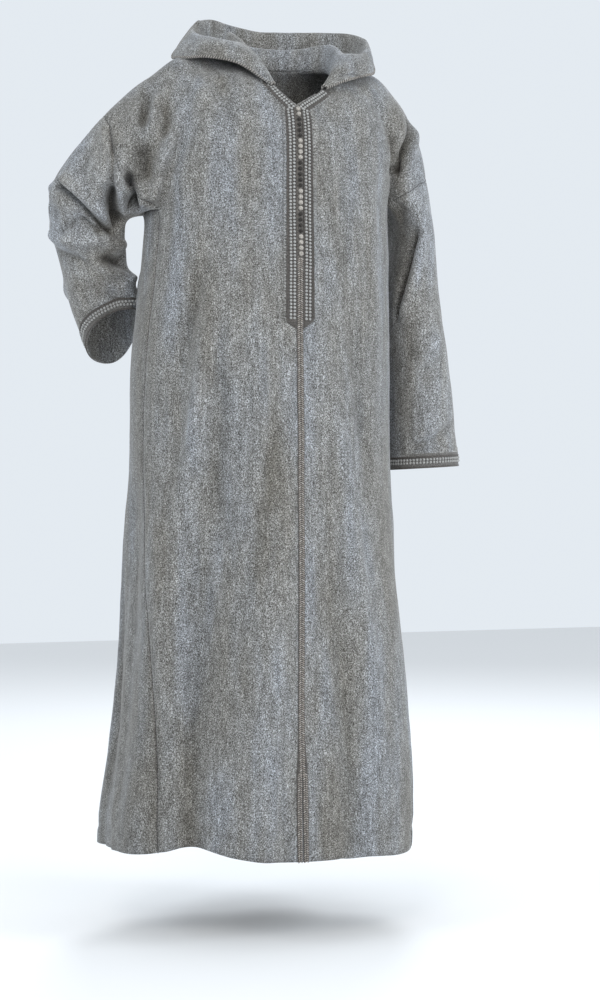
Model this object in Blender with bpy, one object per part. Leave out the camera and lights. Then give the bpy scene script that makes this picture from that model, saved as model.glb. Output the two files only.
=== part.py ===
# A hooded djellaba robe, worn: the right hand on the hip, the left arm hanging.
# Metres, Z up, the front faces -Y, the wearer's left is +X. The origin is at the base of the neck.
import math

import bmesh
import bpy
import numpy as np
from mathutils import Vector
from mathutils.bvhtree import BVHTree

clothWall = 0.0020
seamGap = 0.0003
braidLift = 0.0003
braidWall = 0.0012
centreStripHalf = 0.0062
placketHalf = 0.0320
slitBraidWidth = 0.0105
slitOpening = 0.0012
neckBandWidth = 0.0240
buttonRadius = 0.0044
buttonPitch = 0.0103
squareness = 2.25

frontColumns = 12
shoulderColumns = 7
backColumns = 10
goreColumns = 6
yokeRings = 8
sleeveRows = 14
hoodRows = 11


# Tables: a row per section, the first column is what the rest is looked up by
def table(names, rows):
    return dict(zip(names.split(), np.array(rows, float).T))


def smooth(at, xs, ys):
    at, xs, ys = np.asarray(at, float), np.asarray(xs, float), np.asarray(ys, float)
    slope = np.gradient(ys, xs, axis=0)
    i = np.clip(np.searchsorted(xs, at, side="right") - 1, 0, len(xs) - 2)
    step = (xs[i + 1] - xs[i])
    t = np.clip((at - xs[i]) / step, 0, 1)
    if ys.ndim > 1:
        t, step = t[..., None], step[..., None]
    a, b = (1 + 2 * t) * (1 - t) ** 2, t * t * (3 - 2 * t)
    return a * ys[i] + b * ys[i + 1] + (t * (1 - t) ** 2 * slope[i] - t * t * (1 - t) * slope[i + 1]) * step


def look(rows, names, at):
    first = next(iter(rows))
    order = np.argsort(rows[first])
    return [smooth(at, rows[first][order], rows[name][order]) for name in names.split()]


def ease(t):
    t = np.clip(t, 0, 1)
    return t * t * (3 - 2 * t)


bodySections = table("height halfWidth halfDepth centreX centreY", [
    (-0.16, 0.226, 0.150, -0.028, 0.004),
    (-0.25, 0.229, 0.160, -0.030, 0.002),
    (-0.34, 0.233, 0.167, -0.034, 0.000),
    (-0.50, 0.243, 0.176, -0.043, 0.000),
    (-0.77, 0.245, 0.192, -0.043, 0.000),
    (-0.95, 0.256, 0.205, -0.041, 0.000),
    (-1.17, 0.273, 0.220, -0.040, 0.000),
    (-1.28, 0.285, 0.229, -0.044, 0.000),
    (-1.36, 0.293, 0.233, -0.050, 0.000),
    (-1.42, 0.290, 0.231, -0.053, 0.000),
])

# The gore seams, in degrees from the centre front
goreSeams = table("height frontSeam backSeam", [
    (-0.20, 78, 102),
    (-0.35, 77, 105),
    (-0.50, 77, 108),
    (-0.64, 80, 110),
    (-0.77, 81, 113),
    (-0.87, 77, 115),
    (-1.00, 69, 118),
    (-1.18, 60, 121),
    (-1.28, 56, 123),
    (-1.42, 52, 126),
])

# How far the centre front stands toward the wearer's left of the section's middle
frontShift = table("height shift", [
    (-0.20, 0.000), (-0.33, 0.001), (-0.46, 0.005), (-0.56, 0.007), (-0.66, 0.006), (-0.77, 0.001),
    (-0.87, -0.003), (-0.98, -0.007), (-1.09, -0.012), (-1.20, -0.013), (-1.30, -0.009), (-1.42, 0.000),
])

# The hem's height round the robe, in degrees from the centre front, plus to the wearer's left
hemLine = table("angle height", [
    (-180, -1.392), (-140, -1.396), (-105, -1.397), (-75, -1.390), (-55, -1.386), (-40, -1.373),
    (-22, -1.388), (0, -1.400), (20, -1.401), (45, -1.409), (72, -1.392), (105, -1.396),
    (140, -1.388), (180, -1.392),
])

# Folds of the skirt: degrees at their top and foot, heights, width and how far out (+) or in (-)
folds = table("topAngle footAngle top foot width rise", [
    (-30, -47, -0.30, -0.78, 0.030, 0.009),
    (-44, -60, -0.33, -0.80, 0.034, -0.009),
    (-17, -26, -0.24, -0.55, 0.024, 0.005),
    (-36, -42, -0.62, -1.50, 0.062, -0.026),
    (-12, -19, -0.66, -1.55, 0.050, 0.012),
    (-62, -66, -0.74, -1.55, 0.050, 0.014),
    (-88, -92, -0.66, -1.55, 0.032, -0.013),
    (-112, -110, -0.66, -1.55, 0.040, 0.012),
    (-132, -136, -0.45, -1.55, 0.056, -0.020),
    (-156, -158, -0.40, -1.55, 0.052, 0.014),
    (180, 178, -0.52, -1.55, 0.050, -0.014),
    (150, 154, -0.42, -1.55, 0.056, 0.014),
    (128, 130, -0.50, -1.55, 0.050, -0.017),
    (104, 106, -0.60, -1.55, 0.044, 0.011),
    (74, 80, -0.80, -1.55, 0.046, -0.010),
    (46, 50, -0.90, -1.55, 0.070, 0.008),
])

# The neckline on one side, by the distance from the point of the V: across, forward and up
neckLine = table("along across forward up", [
    (0.000, 0.000, 0.1240, -0.0620),
    (0.030, 0.023, 0.1120, -0.0450),
    (0.060, 0.045, 0.0960, -0.0250),
    (0.090, 0.063, 0.0740, -0.0060),
    (0.120, 0.077, 0.0470, 0.0130),
    (0.150, 0.084, 0.0170, 0.0280),
    (0.180, 0.080, -0.0160, 0.0370),
    (0.210, 0.062, -0.0450, 0.0400),
    (0.240, 0.034, -0.0640, 0.0410),
    (0.272, 0.000, -0.0700, 0.0410),
])
neckCentreX = -0.0220

# The sleeve seams, from the front of the armpit over the arm to its back
rightArmhole = table("share across forward up", [
    (0.16, -0.310, 0.040, -0.226),
    (0.34, -0.340, 0.040, -0.158),
    (0.50, -0.343, -0.014, -0.070),
    (0.66, -0.328, -0.088, -0.140),
    (0.84, -0.300, -0.090, -0.222),
])
leftArmhole = table("share across forward up", [
    (0.16, 0.212, 0.074, -0.200),
    (0.34, 0.264, 0.060, -0.170),
    (0.50, 0.288, 0.004, -0.152),
    (0.66, 0.268, -0.058, -0.170),
    (0.84, 0.220, -0.076, -0.200),
])

# How the yoke leaves the neckline and how it meets the chest line: 0 centre front, 1 front of the
# armpit, 2 top of the shoulder, 3 back of the armpit, 4 centre back
rightYoke = table("place startOut startForward startUp endOut endForward endUp", [
    (0, 0.00, 0.060, -0.160, 0.00, 0.020, -0.190),
    (0.5, 0.09, 0.160, -0.110, 0.02, -0.020, -0.240),
    (1, 0.22, 0.270, -0.020, 0.02, -0.160, -0.330),
    (1.5, 0.28, 0.140, 0.050, 0.10, -0.070, -0.230),
    (2, 0.33, 0.000, 0.110, 0.18, -0.020, -0.200),
    (2.5, 0.24, -0.120, 0.000, 0.10, 0.050, -0.190),
    (3, 0.17, -0.210, -0.060, 0.02, 0.110, -0.250),
    (3.5, 0.09, -0.170, -0.040, 0.02, 0.030, -0.260),
    (4, 0.00, -0.120, -0.060, 0.00, -0.020, -0.240),
])
leftYoke = table("place startOut startForward startUp endOut endForward endUp", [
    (0, 0.00, 0.060, -0.160, 0.00, 0.020, -0.190),
    (0.5, 0.09, 0.150, -0.110, 0.01, -0.010, -0.200),
    (1, 0.22, 0.230, -0.010, -0.03, -0.100, -0.240),
    (1.5, 0.30, 0.130, 0.050, 0.02, -0.050, -0.290),
    (2, 0.34, 0.000, 0.085, 0.05, 0.010, -0.330),
    (2.5, 0.30, -0.120, 0.060, 0.02, 0.050, -0.290),
    (3, 0.22, -0.220, 0.010, -0.03, 0.110, -0.240),
    (3.5, 0.09, -0.160, -0.040, 0.01, 0.020, -0.230),
    (4, 0.00, -0.120, -0.060, 0.00, -0.020, -0.240),
])

# Sleeve sections by their distance from the seam: centre, half sizes toward the outside, the inside
# and the front, the angle where the under side starts, the ways that the outside and front face
sleeveNames = "along x y z outer inner front under outX outY outZ frontX frontY frontZ"
rightSleeve = table(sleeveNames, [
    (0.060, -0.344, 0.048, -0.200, 0.076, 0.082, 0.078, 152, -0.68, 0.00, 0.73, 0.05, -1.00, -0.05),
    (0.120, -0.357, 0.080, -0.252, 0.077, 0.078, 0.079, 144, -0.92, 0.00, 0.38, 0.00, -1.00, -0.10),
    (0.190, -0.335, 0.102, -0.334, 0.062, 0.062, 0.077, 134, -1.00, 0.00, -0.06, -0.05, -1.00, 0.05),
    (0.265, -0.311, 0.119, -0.405, 0.061, 0.050, 0.073, 128, -0.97, -0.05, -0.20, -0.08, -0.90, 0.40),
    (0.325, -0.284, 0.124, -0.465, 0.061, 0.036, 0.068, 126, -0.97, -0.10, -0.12, -0.16, -0.72, 0.68),
])
leftSleeve = table(sleeveNames, [
    (0.075, 0.256, 0.006, -0.262, 0.047, 0.023, 0.086, 146, 1.00, -0.05, 0.02, 0.00, -1.00, 0.00),
    (0.180, 0.261, 0.012, -0.365, 0.055, 0.045, 0.084, 136, 1.00, -0.05, 0.02, 0.00, -1.00, 0.00),
    (0.320, 0.274, 0.012, -0.505, 0.064, 0.058, 0.080, 128, 1.00, -0.08, 0.04, 0.00, -1.00, 0.00),
    (0.430, 0.283, 0.008, -0.612, 0.070, 0.064, 0.074, 126, 1.00, -0.12, 0.04, 0.00, -1.00, 0.00),
    (0.528, 0.286, 0.004, -0.709, 0.072, 0.069, 0.068, 126, 1.00, -0.16, 0.06, 0.00, -1.00, 0.00),
])

# Creases of the sleeves: distance along at the outside and at the front, where round the arm they
# start and end (degrees from the outside toward the front), width and depth
creaseNames = "alongStart alongEnd angleStart angleEnd width depth"
rightCreases = table(creaseNames, [
    (0.120, 0.200, 10, 165, 0.020, -0.010),
    (0.165, 0.262, 40, 170, 0.018, -0.008),
    (0.075, 0.150, 50, 150, 0.022, -0.008),
    (0.130, 0.190, -20, -165, 0.022, -0.009),
    (0.200, 0.240, -50, -160, 0.020, -0.007),
])
leftCreases = table(creaseNames, [
    (0.070, 0.210, 40, 110, 0.022, -0.009),
    (0.430, 0.470, -10, 80, 0.020, -0.005),
    (0.120, 0.240, -30, -120, 0.024, -0.009),
    (0.300, 0.250, -50, -140, 0.020, -0.007),
])

# The hood, by the distance along the neckline: how far out and up, from the neckline, the top of
# its stand, the bottom of its trough, its outer crest and its edge lie
hoodNames = "along standOut standUp troughOut troughUp crestOut crestUp edgeOut edgeUp"
rightHood = table(hoodNames, [
    (0.050, 0.004, 0.011, 0.009, 0.015, 0.015, 0.010, 0.018, 0.001),
    (0.075, 0.005, 0.018, 0.014, 0.024, 0.025, 0.020, 0.031, 0.004),
    (0.095, 0.006, 0.028, 0.022, 0.034, 0.038, 0.028, 0.046, 0.008),
    (0.115, 0.008, 0.038, 0.032, 0.042, 0.056, 0.036, 0.066, 0.008),
    (0.135, 0.010, 0.048, 0.036, 0.042, 0.069, 0.042, 0.098, 0.003),
    (0.155, 0.012, 0.055, 0.044, 0.028, 0.080, 0.050, 0.122, 0.001),
    (0.175, 0.014, 0.058, 0.056, 0.000, 0.084, 0.068, 0.126, 0.010),
    (0.195, 0.014, 0.055, 0.070, -0.070, 0.078, 0.092, 0.100, 0.054),
    (0.215, 0.013, 0.050, 0.082, -0.150, 0.070, 0.101, 0.081, 0.086),
    (0.240, 0.013, 0.046, 0.094, -0.220, 0.066, 0.098, 0.073, 0.086),
    (0.272, 0.013, 0.046, 0.098, -0.250, 0.064, 0.092, 0.071, 0.080),
])
leftHood = table(hoodNames, [
    (0.050, 0.004, 0.011, 0.009, 0.015, 0.015, 0.010, 0.018, 0.001),
    (0.075, 0.005, 0.018, 0.014, 0.024, 0.025, 0.020, 0.031, 0.005),
    (0.095, 0.006, 0.028, 0.022, 0.036, 0.037, 0.029, 0.046, 0.005),
    (0.115, 0.008, 0.036, 0.032, 0.042, 0.053, 0.035, 0.068, 0.004),
    (0.135, 0.010, 0.042, 0.042, 0.036, 0.068, 0.044, 0.082, 0.006),
    (0.155, 0.012, 0.048, 0.050, 0.022, 0.083, 0.062, 0.091, 0.026),
    (0.175, 0.014, 0.052, 0.060, -0.004, 0.095, 0.080, 0.102, 0.060),
    (0.195, 0.014, 0.052, 0.074, -0.060, 0.100, 0.093, 0.109, 0.081),
    (0.215, 0.013, 0.048, 0.088, -0.150, 0.092, 0.097, 0.100, 0.087),
    (0.240, 0.013, 0.046, 0.096, -0.220, 0.075, 0.095, 0.082, 0.085),
    (0.272, 0.013, 0.046, 0.098, -0.250, 0.064, 0.092, 0.071, 0.080),
])

lightButtons = (0, 1, 6, 7, 8, 9, 15, 16, 17, 18, 23, 24, 25, 26)
placketEnd = -0.460
chevronTop = -0.359
slitTop = -1.235
chestHeight = {-1: -0.250, 1: -0.214}
armpitOut = {-1: 0.007, 1: 0.013}
armpitUp = {-1: 0.004, 1: 0.010}


# Sections of the body
def section(height):
    return look(bodySections, "halfWidth halfDepth centreX centreY", height)


def foldRise(angle, height):
    rise = 0.0
    halfWidth = section(height)[0]
    for k in range(len(folds["top"])):
        top, foot = folds["top"][k], folds["foot"][k]
        share = np.clip((top - height) / (top - foot), 0, 1)
        at = folds["topAngle"][k] + (folds["footAngle"][k] - folds["topAngle"][k]) * share
        away = (angle - at + 180) % 360 - 180
        away = np.radians(away) * halfWidth / folds["width"][k]
        fade = ease((top - height) / 0.20)
        if foot > -1.4:
            fade = fade * ease((height - foot) / 0.16)
        rise = rise + folds["rise"][k] * fade * np.exp(-away * away)
    return rise


def bodyPoint(angle, height):
    halfWidth, halfDepth, centreX, centreY = section(height)
    s, c = np.sin(np.radians(angle)), np.cos(np.radians(angle))
    x = np.sign(s) * np.abs(s) ** (2 / squareness)
    y = np.sign(c) * np.abs(c) ** (2 / squareness)
    out = np.array([x / halfWidth, -y / halfDepth])
    out = out / np.linalg.norm(out)
    rise = foldRise(angle, height)
    return np.array([
        centreX + halfWidth * x + out[0] * rise,
        centreY - halfDepth * y + out[1] * rise,
        height,
    ])


def angleAcross(distance, height):
    share = abs(distance) / float(section(height)[0])
    return math.copysign(math.degrees(math.asin(share ** (squareness / 2))), distance)


def chestLine(angle):
    share = ease((math.sin(math.radians(angle)) + 1) / 2)
    return chestHeight[-1] + (chestHeight[1] - chestHeight[-1]) * share


def hem(angle):
    return float(look(hemLine, "height", angle)[0])


# Columns of one side, from the centre front to the centre back
def columnAngle(column, side, height):
    front, back = [float(v) for v in look(goreSeams, "frontSeam backSeam", height)]
    last = frontColumns + goreColumns
    if column <= frontColumns:
        widen = ease((slitTop + 0.02 - height) / 0.03)
        strip = centreStripHalf + (slitBraidWidth + slitOpening / 2 - centreStripHalf) * widen
        shift = float(look(frontShift, "shift", height)[0])
        start = angleAcross(shift + side * (0, strip, placketHalf)[min(column, 2)], height)
        return start + (side * front - start) * max(column - 2, 0) / (frontColumns - 2)
    if column <= last:
        return side * (front + (back - front) * (column - frontColumns) / goreColumns)
    return side * (back + (180 - back) * (column - last) / backColumns)


def neckPoint(along, side):
    across, forward, up = [float(v) for v in look(neckLine, "across forward up", along)]
    lean = neckCentreX * ease(1 - along / 0.10)
    return np.array([lean + side * across, -forward, up])


def neckAlong(place):
    marks = [0.0, 0.008, 0.0415]
    if place <= 2:
        return marks[int(place)]
    knots = [2, frontColumns, frontColumns + shoulderColumns, frontColumns + 2 * shoulderColumns,
             frontColumns + 2 * shoulderColumns + backColumns]
    return float(np.interp(place, knots, [0.0415, 0.122, 0.158, 0.192, 0.272]))


def yokePlace(column):
    ends = np.cumsum([0, frontColumns, shoulderColumns, shoulderColumns, backColumns])
    return float(np.interp(column, ends, range(5)))


def chestPoint(column, side):
    """The far end of a yoke column: on the chest line, or on the sleeve seam."""
    last = frontColumns + 2 * shoulderColumns
    if column <= frontColumns or column >= last:
        torso = column if column <= frontColumns else column - 2 * shoulderColumns + goreColumns
        height = chestHeight[side]
        for _ in range(4):
            angle = columnAngle(torso, side, height)
            height = chestLine(angle)
        return bodyPoint(angle, height)
    rows = rightArmhole if side < 0 else leftArmhole
    front, back = chestPoint(frontColumns, side), chestPoint(last, side)
    middle = np.stack([rows["across"], -rows["forward"], rows["up"]], axis=1)
    points = np.vstack([front, middle, back])
    share = (column - frontColumns) / (2 * shoulderColumns)
    return smooth(share, np.concatenate([[0], rows["share"], [1]]), points)


def yokeColumn(column, side):
    start, end = neckPoint(neckAlong(column), side), chestPoint(column, side)
    rows = rightYoke if side < 0 else leftYoke
    names = "startOut startForward startUp endOut endForward endUp"
    so, sf, su, eo, ef, eu = [float(v) for v in look(rows, names, yokePlace(column))]
    leave, arrive = np.array([side * so, -sf, su]), np.array([side * eo, -ef, eu])
    t = np.linspace(0, 1, 41)[:, None]
    curve = ((1 + 2 * t) * (1 - t) ** 2 * start + t * (1 - t) ** 2 * leave
             + t * t * (3 - 2 * t) * end - t * t * (1 - t) * arrive)
    steps = np.linalg.norm(np.diff(curve, axis=0), axis=1)
    along = np.concatenate([[0], np.cumsum(steps)])
    rest = np.linspace(neckBandWidth, along[-1], yokeRings)
    at = np.concatenate([[0], rest])
    return np.stack([np.interp(at, along, curve[:, k]) for k in range(3)], axis=1)


# One mesh of the whole cloth surface: shared points, and faces with the name of their panel
points, faces, named = [], [], {}


def point(key, place):
    if key not in named:
        named[key] = len(points)
        points.append(np.array(place, float))
    return named[key]


def sideName(side):
    return "right" if side < 0 else "left"


def addFace(panel, corners, side):
    faces.append((panel, corners if side > 0 else corners[::-1]))


def yokeKey(side, column, ring):
    total = frontColumns + 2 * shoulderColumns + backColumns
    if column == 0 or column == total:
        return ("yoke", 0, column, ring)
    return ("yoke", side, column, ring)


def addYoke(side):
    total = frontColumns + 2 * shoulderColumns + backColumns
    for column in range(total + 1):
        for ring, place in enumerate(yokeColumn(column, side)):
            point(yokeKey(side, column, ring), place)
    for column in range(total):
        isFront = column < frontColumns + shoulderColumns
        panel = "front_" + sideName(side) if isFront else "back"
        for ring in range(yokeRings):
            corners = [named[yokeKey(side, column, ring)], named[yokeKey(side, column, ring + 1)],
                       named[yokeKey(side, column + 1, ring + 1)], named[yokeKey(side, column + 1, ring)]]
            addFace(panel, corners, side)


# The rows of the skirt, as shares of the way from the chest line to the hem at the centre front
rowHeights = np.concatenate([
    np.linspace(chestLine(0), chevronTop, 3)[:-1],
    np.linspace(chevronTop, placketEnd, 3)[:-1],
    np.linspace(placketEnd, slitTop, 16)[:-1],
    np.linspace(slitTop, hem(0), 5),
])
rowShares = (rowHeights - rowHeights[0]) / (rowHeights[-1] - rowHeights[0])
placketRow = int(np.argmin(abs(rowHeights - placketEnd)))
chevronRow = int(np.argmin(abs(rowHeights - chevronTop)))
slitRow = int(np.argmin(abs(rowHeights - slitTop)))


def bodyKey(side, column, row):
    total = frontColumns + goreColumns + backColumns
    if row == 0 and column <= frontColumns:
        return yokeKey(side, column, yokeRings)
    if row == 0 and column >= frontColumns + goreColumns:
        return yokeKey(side, column - goreColumns + 2 * shoulderColumns, yokeRings)
    if column == total or (column == 0 and row <= slitRow):
        return ("body", 0, column, row)
    return ("body", side, column, row)


def bodyPlace(side, column, row):
    angle = columnAngle(column, side, -0.3)
    for _ in range(4):
        top, low = chestLine(angle), hem(angle)
        height = top + (low - top) * rowShares[row]
        angle = columnAngle(column, side, height)
    if row == placketRow and 1 <= column <= 2:
        height += 0.009 if column == 2 else -0.008
    place = bodyPoint(angle, height)
    gore = (column - frontColumns) / goreColumns
    if 0 < gore < 1:
        arch = math.sin(math.pi * gore) ** 2 * math.exp(-((row / 0.8) ** 2))
        place = place + np.array([side * armpitOut[side], 0, armpitUp[side]]) * arch
    if column == 0 and row > slitRow:
        place[0] += side * slitOpening / 2 * ease((row - slitRow) / 2)
    return place


def addBody(side):
    total = frontColumns + goreColumns + backColumns
    rows = len(rowShares)
    for row in range(rows):
        for column in range(total + 1):
            key = bodyKey(side, column, row)
            if key not in named:
                point(key, bodyPlace(side, column, row))
    for column in range(total):
        if column < frontColumns:
            panel = "front_" + sideName(side)
        elif column < frontColumns + goreColumns:
            panel = "gore_" + sideName(side)
        else:
            panel = "back"
        for row in range(rows - 1):
            corners = [named[bodyKey(side, column, row)], named[bodyKey(side, column, row + 1)],
                       named[bodyKey(side, column + 1, row + 1)], named[bodyKey(side, column + 1, row)]]
            addFace(panel, corners, side)


# Sleeves: the columns run from the front of the armpit over the arm, then back under it
def armKey(side, column, row):
    turn = 2 * shoulderColumns + goreColumns
    column = column % turn
    if row == 0:
        if column <= 2 * shoulderColumns:
            return yokeKey(side, frontColumns + column, yokeRings)
        return bodyKey(side, frontColumns + turn - column, 0)
    return ("arm", side, column, row)


def unit(v):
    return v / np.linalg.norm(v)


def armRings(side):
    rows = rightSleeve if side < 0 else leftSleeve
    creases = rightCreases if side < 0 else leftCreases
    turn = 2 * shoulderColumns + goreColumns
    spread = np.arange(turn)
    rings = [np.array([points[named[armKey(side, c, 0)]] for c in range(turn)])]
    for k in range(len(rows["along"])):
        centre = np.array([rows["x"][k], rows["y"][k], rows["z"][k]])
        out = unit(np.array([rows["outX"][k], rows["outY"][k], rows["outZ"][k]]))
        front = np.array([rows["frontX"][k], rows["frontY"][k], rows["frontZ"][k]])
        front = unit(front - out * front.dot(out))
        under = rows["under"][k]
        angles = np.interp(spread, [0, 2 * shoulderColumns, turn], [under, -under, under - 360])
        c, s = np.cos(np.radians(angles)), np.sin(np.radians(angles))
        reach = np.where(c > 0, rows["outer"][k], rows["inner"][k])
        rings.append(centre + np.outer(c * reach, out) + np.outer(s * rows["front"][k], front))
    along = np.concatenate([[0], rows["along"]])
    at = np.linspace(0, along[-1], sleeveRows + 1)
    grid = np.stack([smooth(at, along, np.array(rings)[:, c]) for c in range(turn)], axis=1)
    axis = grid.mean(axis=1, keepdims=True)
    outward = grid - axis
    outward /= np.linalg.norm(outward, axis=2, keepdims=True)
    away = (angles + 180) % 360 - 180
    for k in range(len(creases["width"])):
        start, end = creases["angleStart"][k], creases["angleEnd"][k]
        share = (away - start) / (end - start)
        where = creases["alongStart"][k] + (creases["alongEnd"][k] - creases["alongStart"][k]) * share
        fade = ease((share + 0.10) / 0.3) * ease((1.10 - share) / 0.3)
        off = (at[:, None] - where[None, :]) / creases["width"][k]
        push = creases["depth"][k] * fade[None, :] * np.exp(-off * off)
        push = push * ease(at / 0.05)[:, None] * ease((along[-1] - at) / 0.05)[:, None]
        grid = grid + outward * push[:, :, None]
    return grid


def addArm(side):
    turn = 2 * shoulderColumns + goreColumns
    grid = armRings(side)
    for row in range(1, sleeveRows + 1):
        for column in range(turn):
            point(armKey(side, column, row), grid[row, column])
    for row in range(sleeveRows):
        for column in range(turn):
            corners = [named[armKey(side, column, row)], named[armKey(side, column, row + 1)],
                       named[armKey(side, column + 1, row + 1)], named[armKey(side, column + 1, row)]]
            addFace("sleeve_" + sideName(side), corners, side)


# The hood lies back: from the neckline up its stand, down into its trough and up to its edge
hoodFirst = 4


def hoodKey(side, column, row):
    total = frontColumns + 2 * shoulderColumns + backColumns
    if row == 0:
        return yokeKey(side, column, 0)
    return ("hood", 0 if column == total else side, column, row)


def clearOf(place, tree, gap):
    near, normal, _, _ = tree.find_nearest(Vector(place))
    off = np.array(place) - np.array(near)
    if off.dot(np.array(normal)) >= gap:
        return place
    return np.array(near) + np.array(normal) * gap


def hoodPlaces(side, column, tree):
    rows = rightHood if side < 0 else leftHood
    along = neckAlong(column)
    names = hoodNames.split(" ", 1)[1]
    so, su, to, tu, co, cu, eo, eu = [float(v) for v in look(rows, names, along)]
    base = neckPoint(along, side)
    ahead, behind = neckPoint(min(along + 0.01, 0.272), side), neckPoint(max(along - 0.01, 0.001), side)
    way = ahead - behind
    outward = unit(np.array([side * way[1], side * -way[0], 0.0]))
    if column == frontColumns + 2 * shoulderColumns + backColumns:
        outward = np.array([0.0, 1.0, 0.0])
    up = np.array([0.0, 0.0, 1.0])
    stand, low, crest, edge = np.array([(so, su), (to, tu), (co, cu), (eo, eu)])
    deep = ease((su - tu) / 0.05)
    wide = min(0.012, 0.25 * (co - so))
    inner = low + (-wide, 0.8 * wide * deep)
    outer = low + (wide, 0.8 * wide * deep)
    turn = stand + np.array([0.012, 0.001]) * deep + 0.35 * (inner - stand) * (1 - deep)
    path = [stand * (0.5, 0.6), stand, turn, turn * 0.5 + inner * 0.5, inner, low, outer,
            outer * 0.5 + crest * 0.5, crest, crest * 0.45 + edge * 0.55 + (0.003, 0.004), edge]
    places = [base + outward * a + up * b for a, b in path]
    gaps = [0, 0, 0.006, 0.007, 0.007, 0.009, 0.014, 0.020, 0.016, 0.009, 0.006]
    gaps = [g * (0.7 + 0.3 * deep) for g in gaps]
    return [base] + [clearOf(place, tree, g) if g else place for place, g in zip(places, gaps)]


def addHood(side, tree):
    total = frontColumns + 2 * shoulderColumns + backColumns
    for column in range(hoodFirst, total + 1):
        for row, place in enumerate(hoodPlaces(side, column, tree)):
            if row and hoodKey(side, column, row) not in named:
                point(hoodKey(side, column, row), place)
    for column in range(hoodFirst, total):
        for row in range(hoodRows):
            corners = [named[hoodKey(side, column, row)], named[hoodKey(side, column + 1, row)],
                       named[hoodKey(side, column + 1, row + 1)], named[hoodKey(side, column, row + 1)]]
            addFace("hood", corners, side)


# Solids from faces: the same points moved along their normals, and a rim round the edge
def pointNormals(places, listed):
    normals, turned = np.zeros_like(places), np.zeros((len(places), 1))
    around = [[] for _ in places]
    for _, corners in listed:
        a, b, c, d = [places[i] for i in corners]
        across = unit(np.cross(c - a, d - b))
        for before, i, after in zip(corners[-1:] + corners[:-1], corners, corners[1:] + corners[:1]):
            one, two = places[before] - places[i], places[after] - places[i]
            turn = math.acos(max(-1, min(1, unit(one).dot(unit(two)))))
            normals[i] += across * turn
            turned[i] += turn
            around[i].append(unit(np.cross(two, one)))
    size = np.maximum(np.linalg.norm(normals, axis=1, keepdims=True), 1e-12)
    normals = normals / size
    for i, near in enumerate(around):
        for _ in range(60):
            facing = [n.dot(normals[i]) for n in near]
            if min(facing, default=1) > 0.45:
                break
            normals[i] = unit(normals[i] + near[int(np.argmin(facing))] * 0.1)
    return normals, np.clip(size / np.maximum(turned, 1e-9) * 1.4 - 0.1, 0.5, 1)[:, 0]


def solid(name, quads, places, normals, outer, inner, full, inset, colour):
    edges = {}
    for q in quads:
        for a, b in zip(q, q[1:] + q[:1]):
            edges[(a, b)] = q
    rim = [e for e in edges if (e[1], e[0]) not in edges]
    used = sorted({i for q in quads for i in q})
    shift = {i: np.zeros(3) for i in used}
    for a, b in rim:
        along = unit(places[b] - places[a])
        for i in (a, b):
            inward = np.cross(normals[i], along)
            shift[i] = shift[i] + unit(inward - normals[i] * inward.dot(normals[i])) / 2
    mesh = bpy.data.meshes.new(name)
    bm = bmesh.new()
    tops, lows = {}, {}
    for i in used:
        move = shift[i]
        size = np.linalg.norm(move)
        if size > 0:
            move = move / size * min(inset / size, 3 * inset)
        tops[i] = bm.verts.new(places[i] + move + normals[i] * outer)
        lows[i] = bm.verts.new(places[i] + move + normals[i] * inner * full[i])
    for q in quads:
        a, b, c, d = q
        if np.linalg.norm(places[a] - places[c]) > np.linalg.norm(places[b] - places[d]):
            a, b, c, d = b, c, d, a
        for t in ((a, b, c), (a, c, d)):
            bm.faces.new([tops[i] for i in t])
            bm.faces.new([lows[i] for i in reversed(t)])
    for a, b in rim:
        if a < b:
            bm.faces.new([tops[b], tops[a], lows[a]])
            bm.faces.new([tops[b], lows[a], lows[b]])
        else:
            bm.faces.new([tops[b], tops[a], lows[b]])
            bm.faces.new([tops[a], lows[a], lows[b]])
    bm.to_mesh(mesh)
    bm.free()
    made = bpy.data.objects.new(name, mesh)
    made.data.materials.append(material(name, colour))
    bpy.context.scene.collection.objects.link(made)
    return made


def material(name, colour):
    made = bpy.data.materials.new(name + "_colour")
    made.use_nodes = True
    shader = made.node_tree.nodes["Principled BSDF"]
    shader.inputs["Base Color"].default_value = (*colour, 1)
    shader.inputs["Roughness"].default_value = 0.9
    return made


wool = (0.30, 0.30, 0.29)
braid = (0.09, 0.08, 0.07)
paleKnot = (0.55, 0.52, 0.47)
darkKnot = (0.05, 0.045, 0.04)


def stripFaces(test):
    found = []
    for side in (-1, 1):
        for column in range(3):
            for ring in range(yokeRings):
                if test(side, column, ring - yokeRings):
                    quad = [named[yokeKey(side, column, ring)], named[yokeKey(side, column, ring + 1)],
                            named[yokeKey(side, column + 1, ring + 1)], named[yokeKey(side, column + 1, ring)]]
                    found.append(quad if side > 0 else quad[::-1])
            for row in range(len(rowShares) - 1):
                if test(side, column, row):
                    quad = [named[bodyKey(side, column, row)], named[bodyKey(side, column, row + 1)],
                            named[bodyKey(side, column + 1, row + 1)], named[bodyKey(side, column + 1, row)]]
                    found.append(quad if side > 0 else quad[::-1])
    return found


def neckBand(side):
    found = []
    for column in range(2, frontColumns - 2):
        quad = [named[yokeKey(side, column, 0)], named[yokeKey(side, column, 1)],
                named[yokeKey(side, column + 1, 1)], named[yokeKey(side, column + 1, 0)]]
        found.append(quad if side > 0 else quad[::-1])
    return found


def cuffBand(side):
    turn = 2 * shoulderColumns + goreColumns
    found = []
    for column in range(turn):
        quad = [named[armKey(side, column, sleeveRows - 1)], named[armKey(side, column, sleeveRows)],
                named[armKey(side, column + 1, sleeveRows)], named[armKey(side, column + 1, sleeveRows - 1)]]
        found.append(quad if side > 0 else quad[::-1])
    return found


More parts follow.
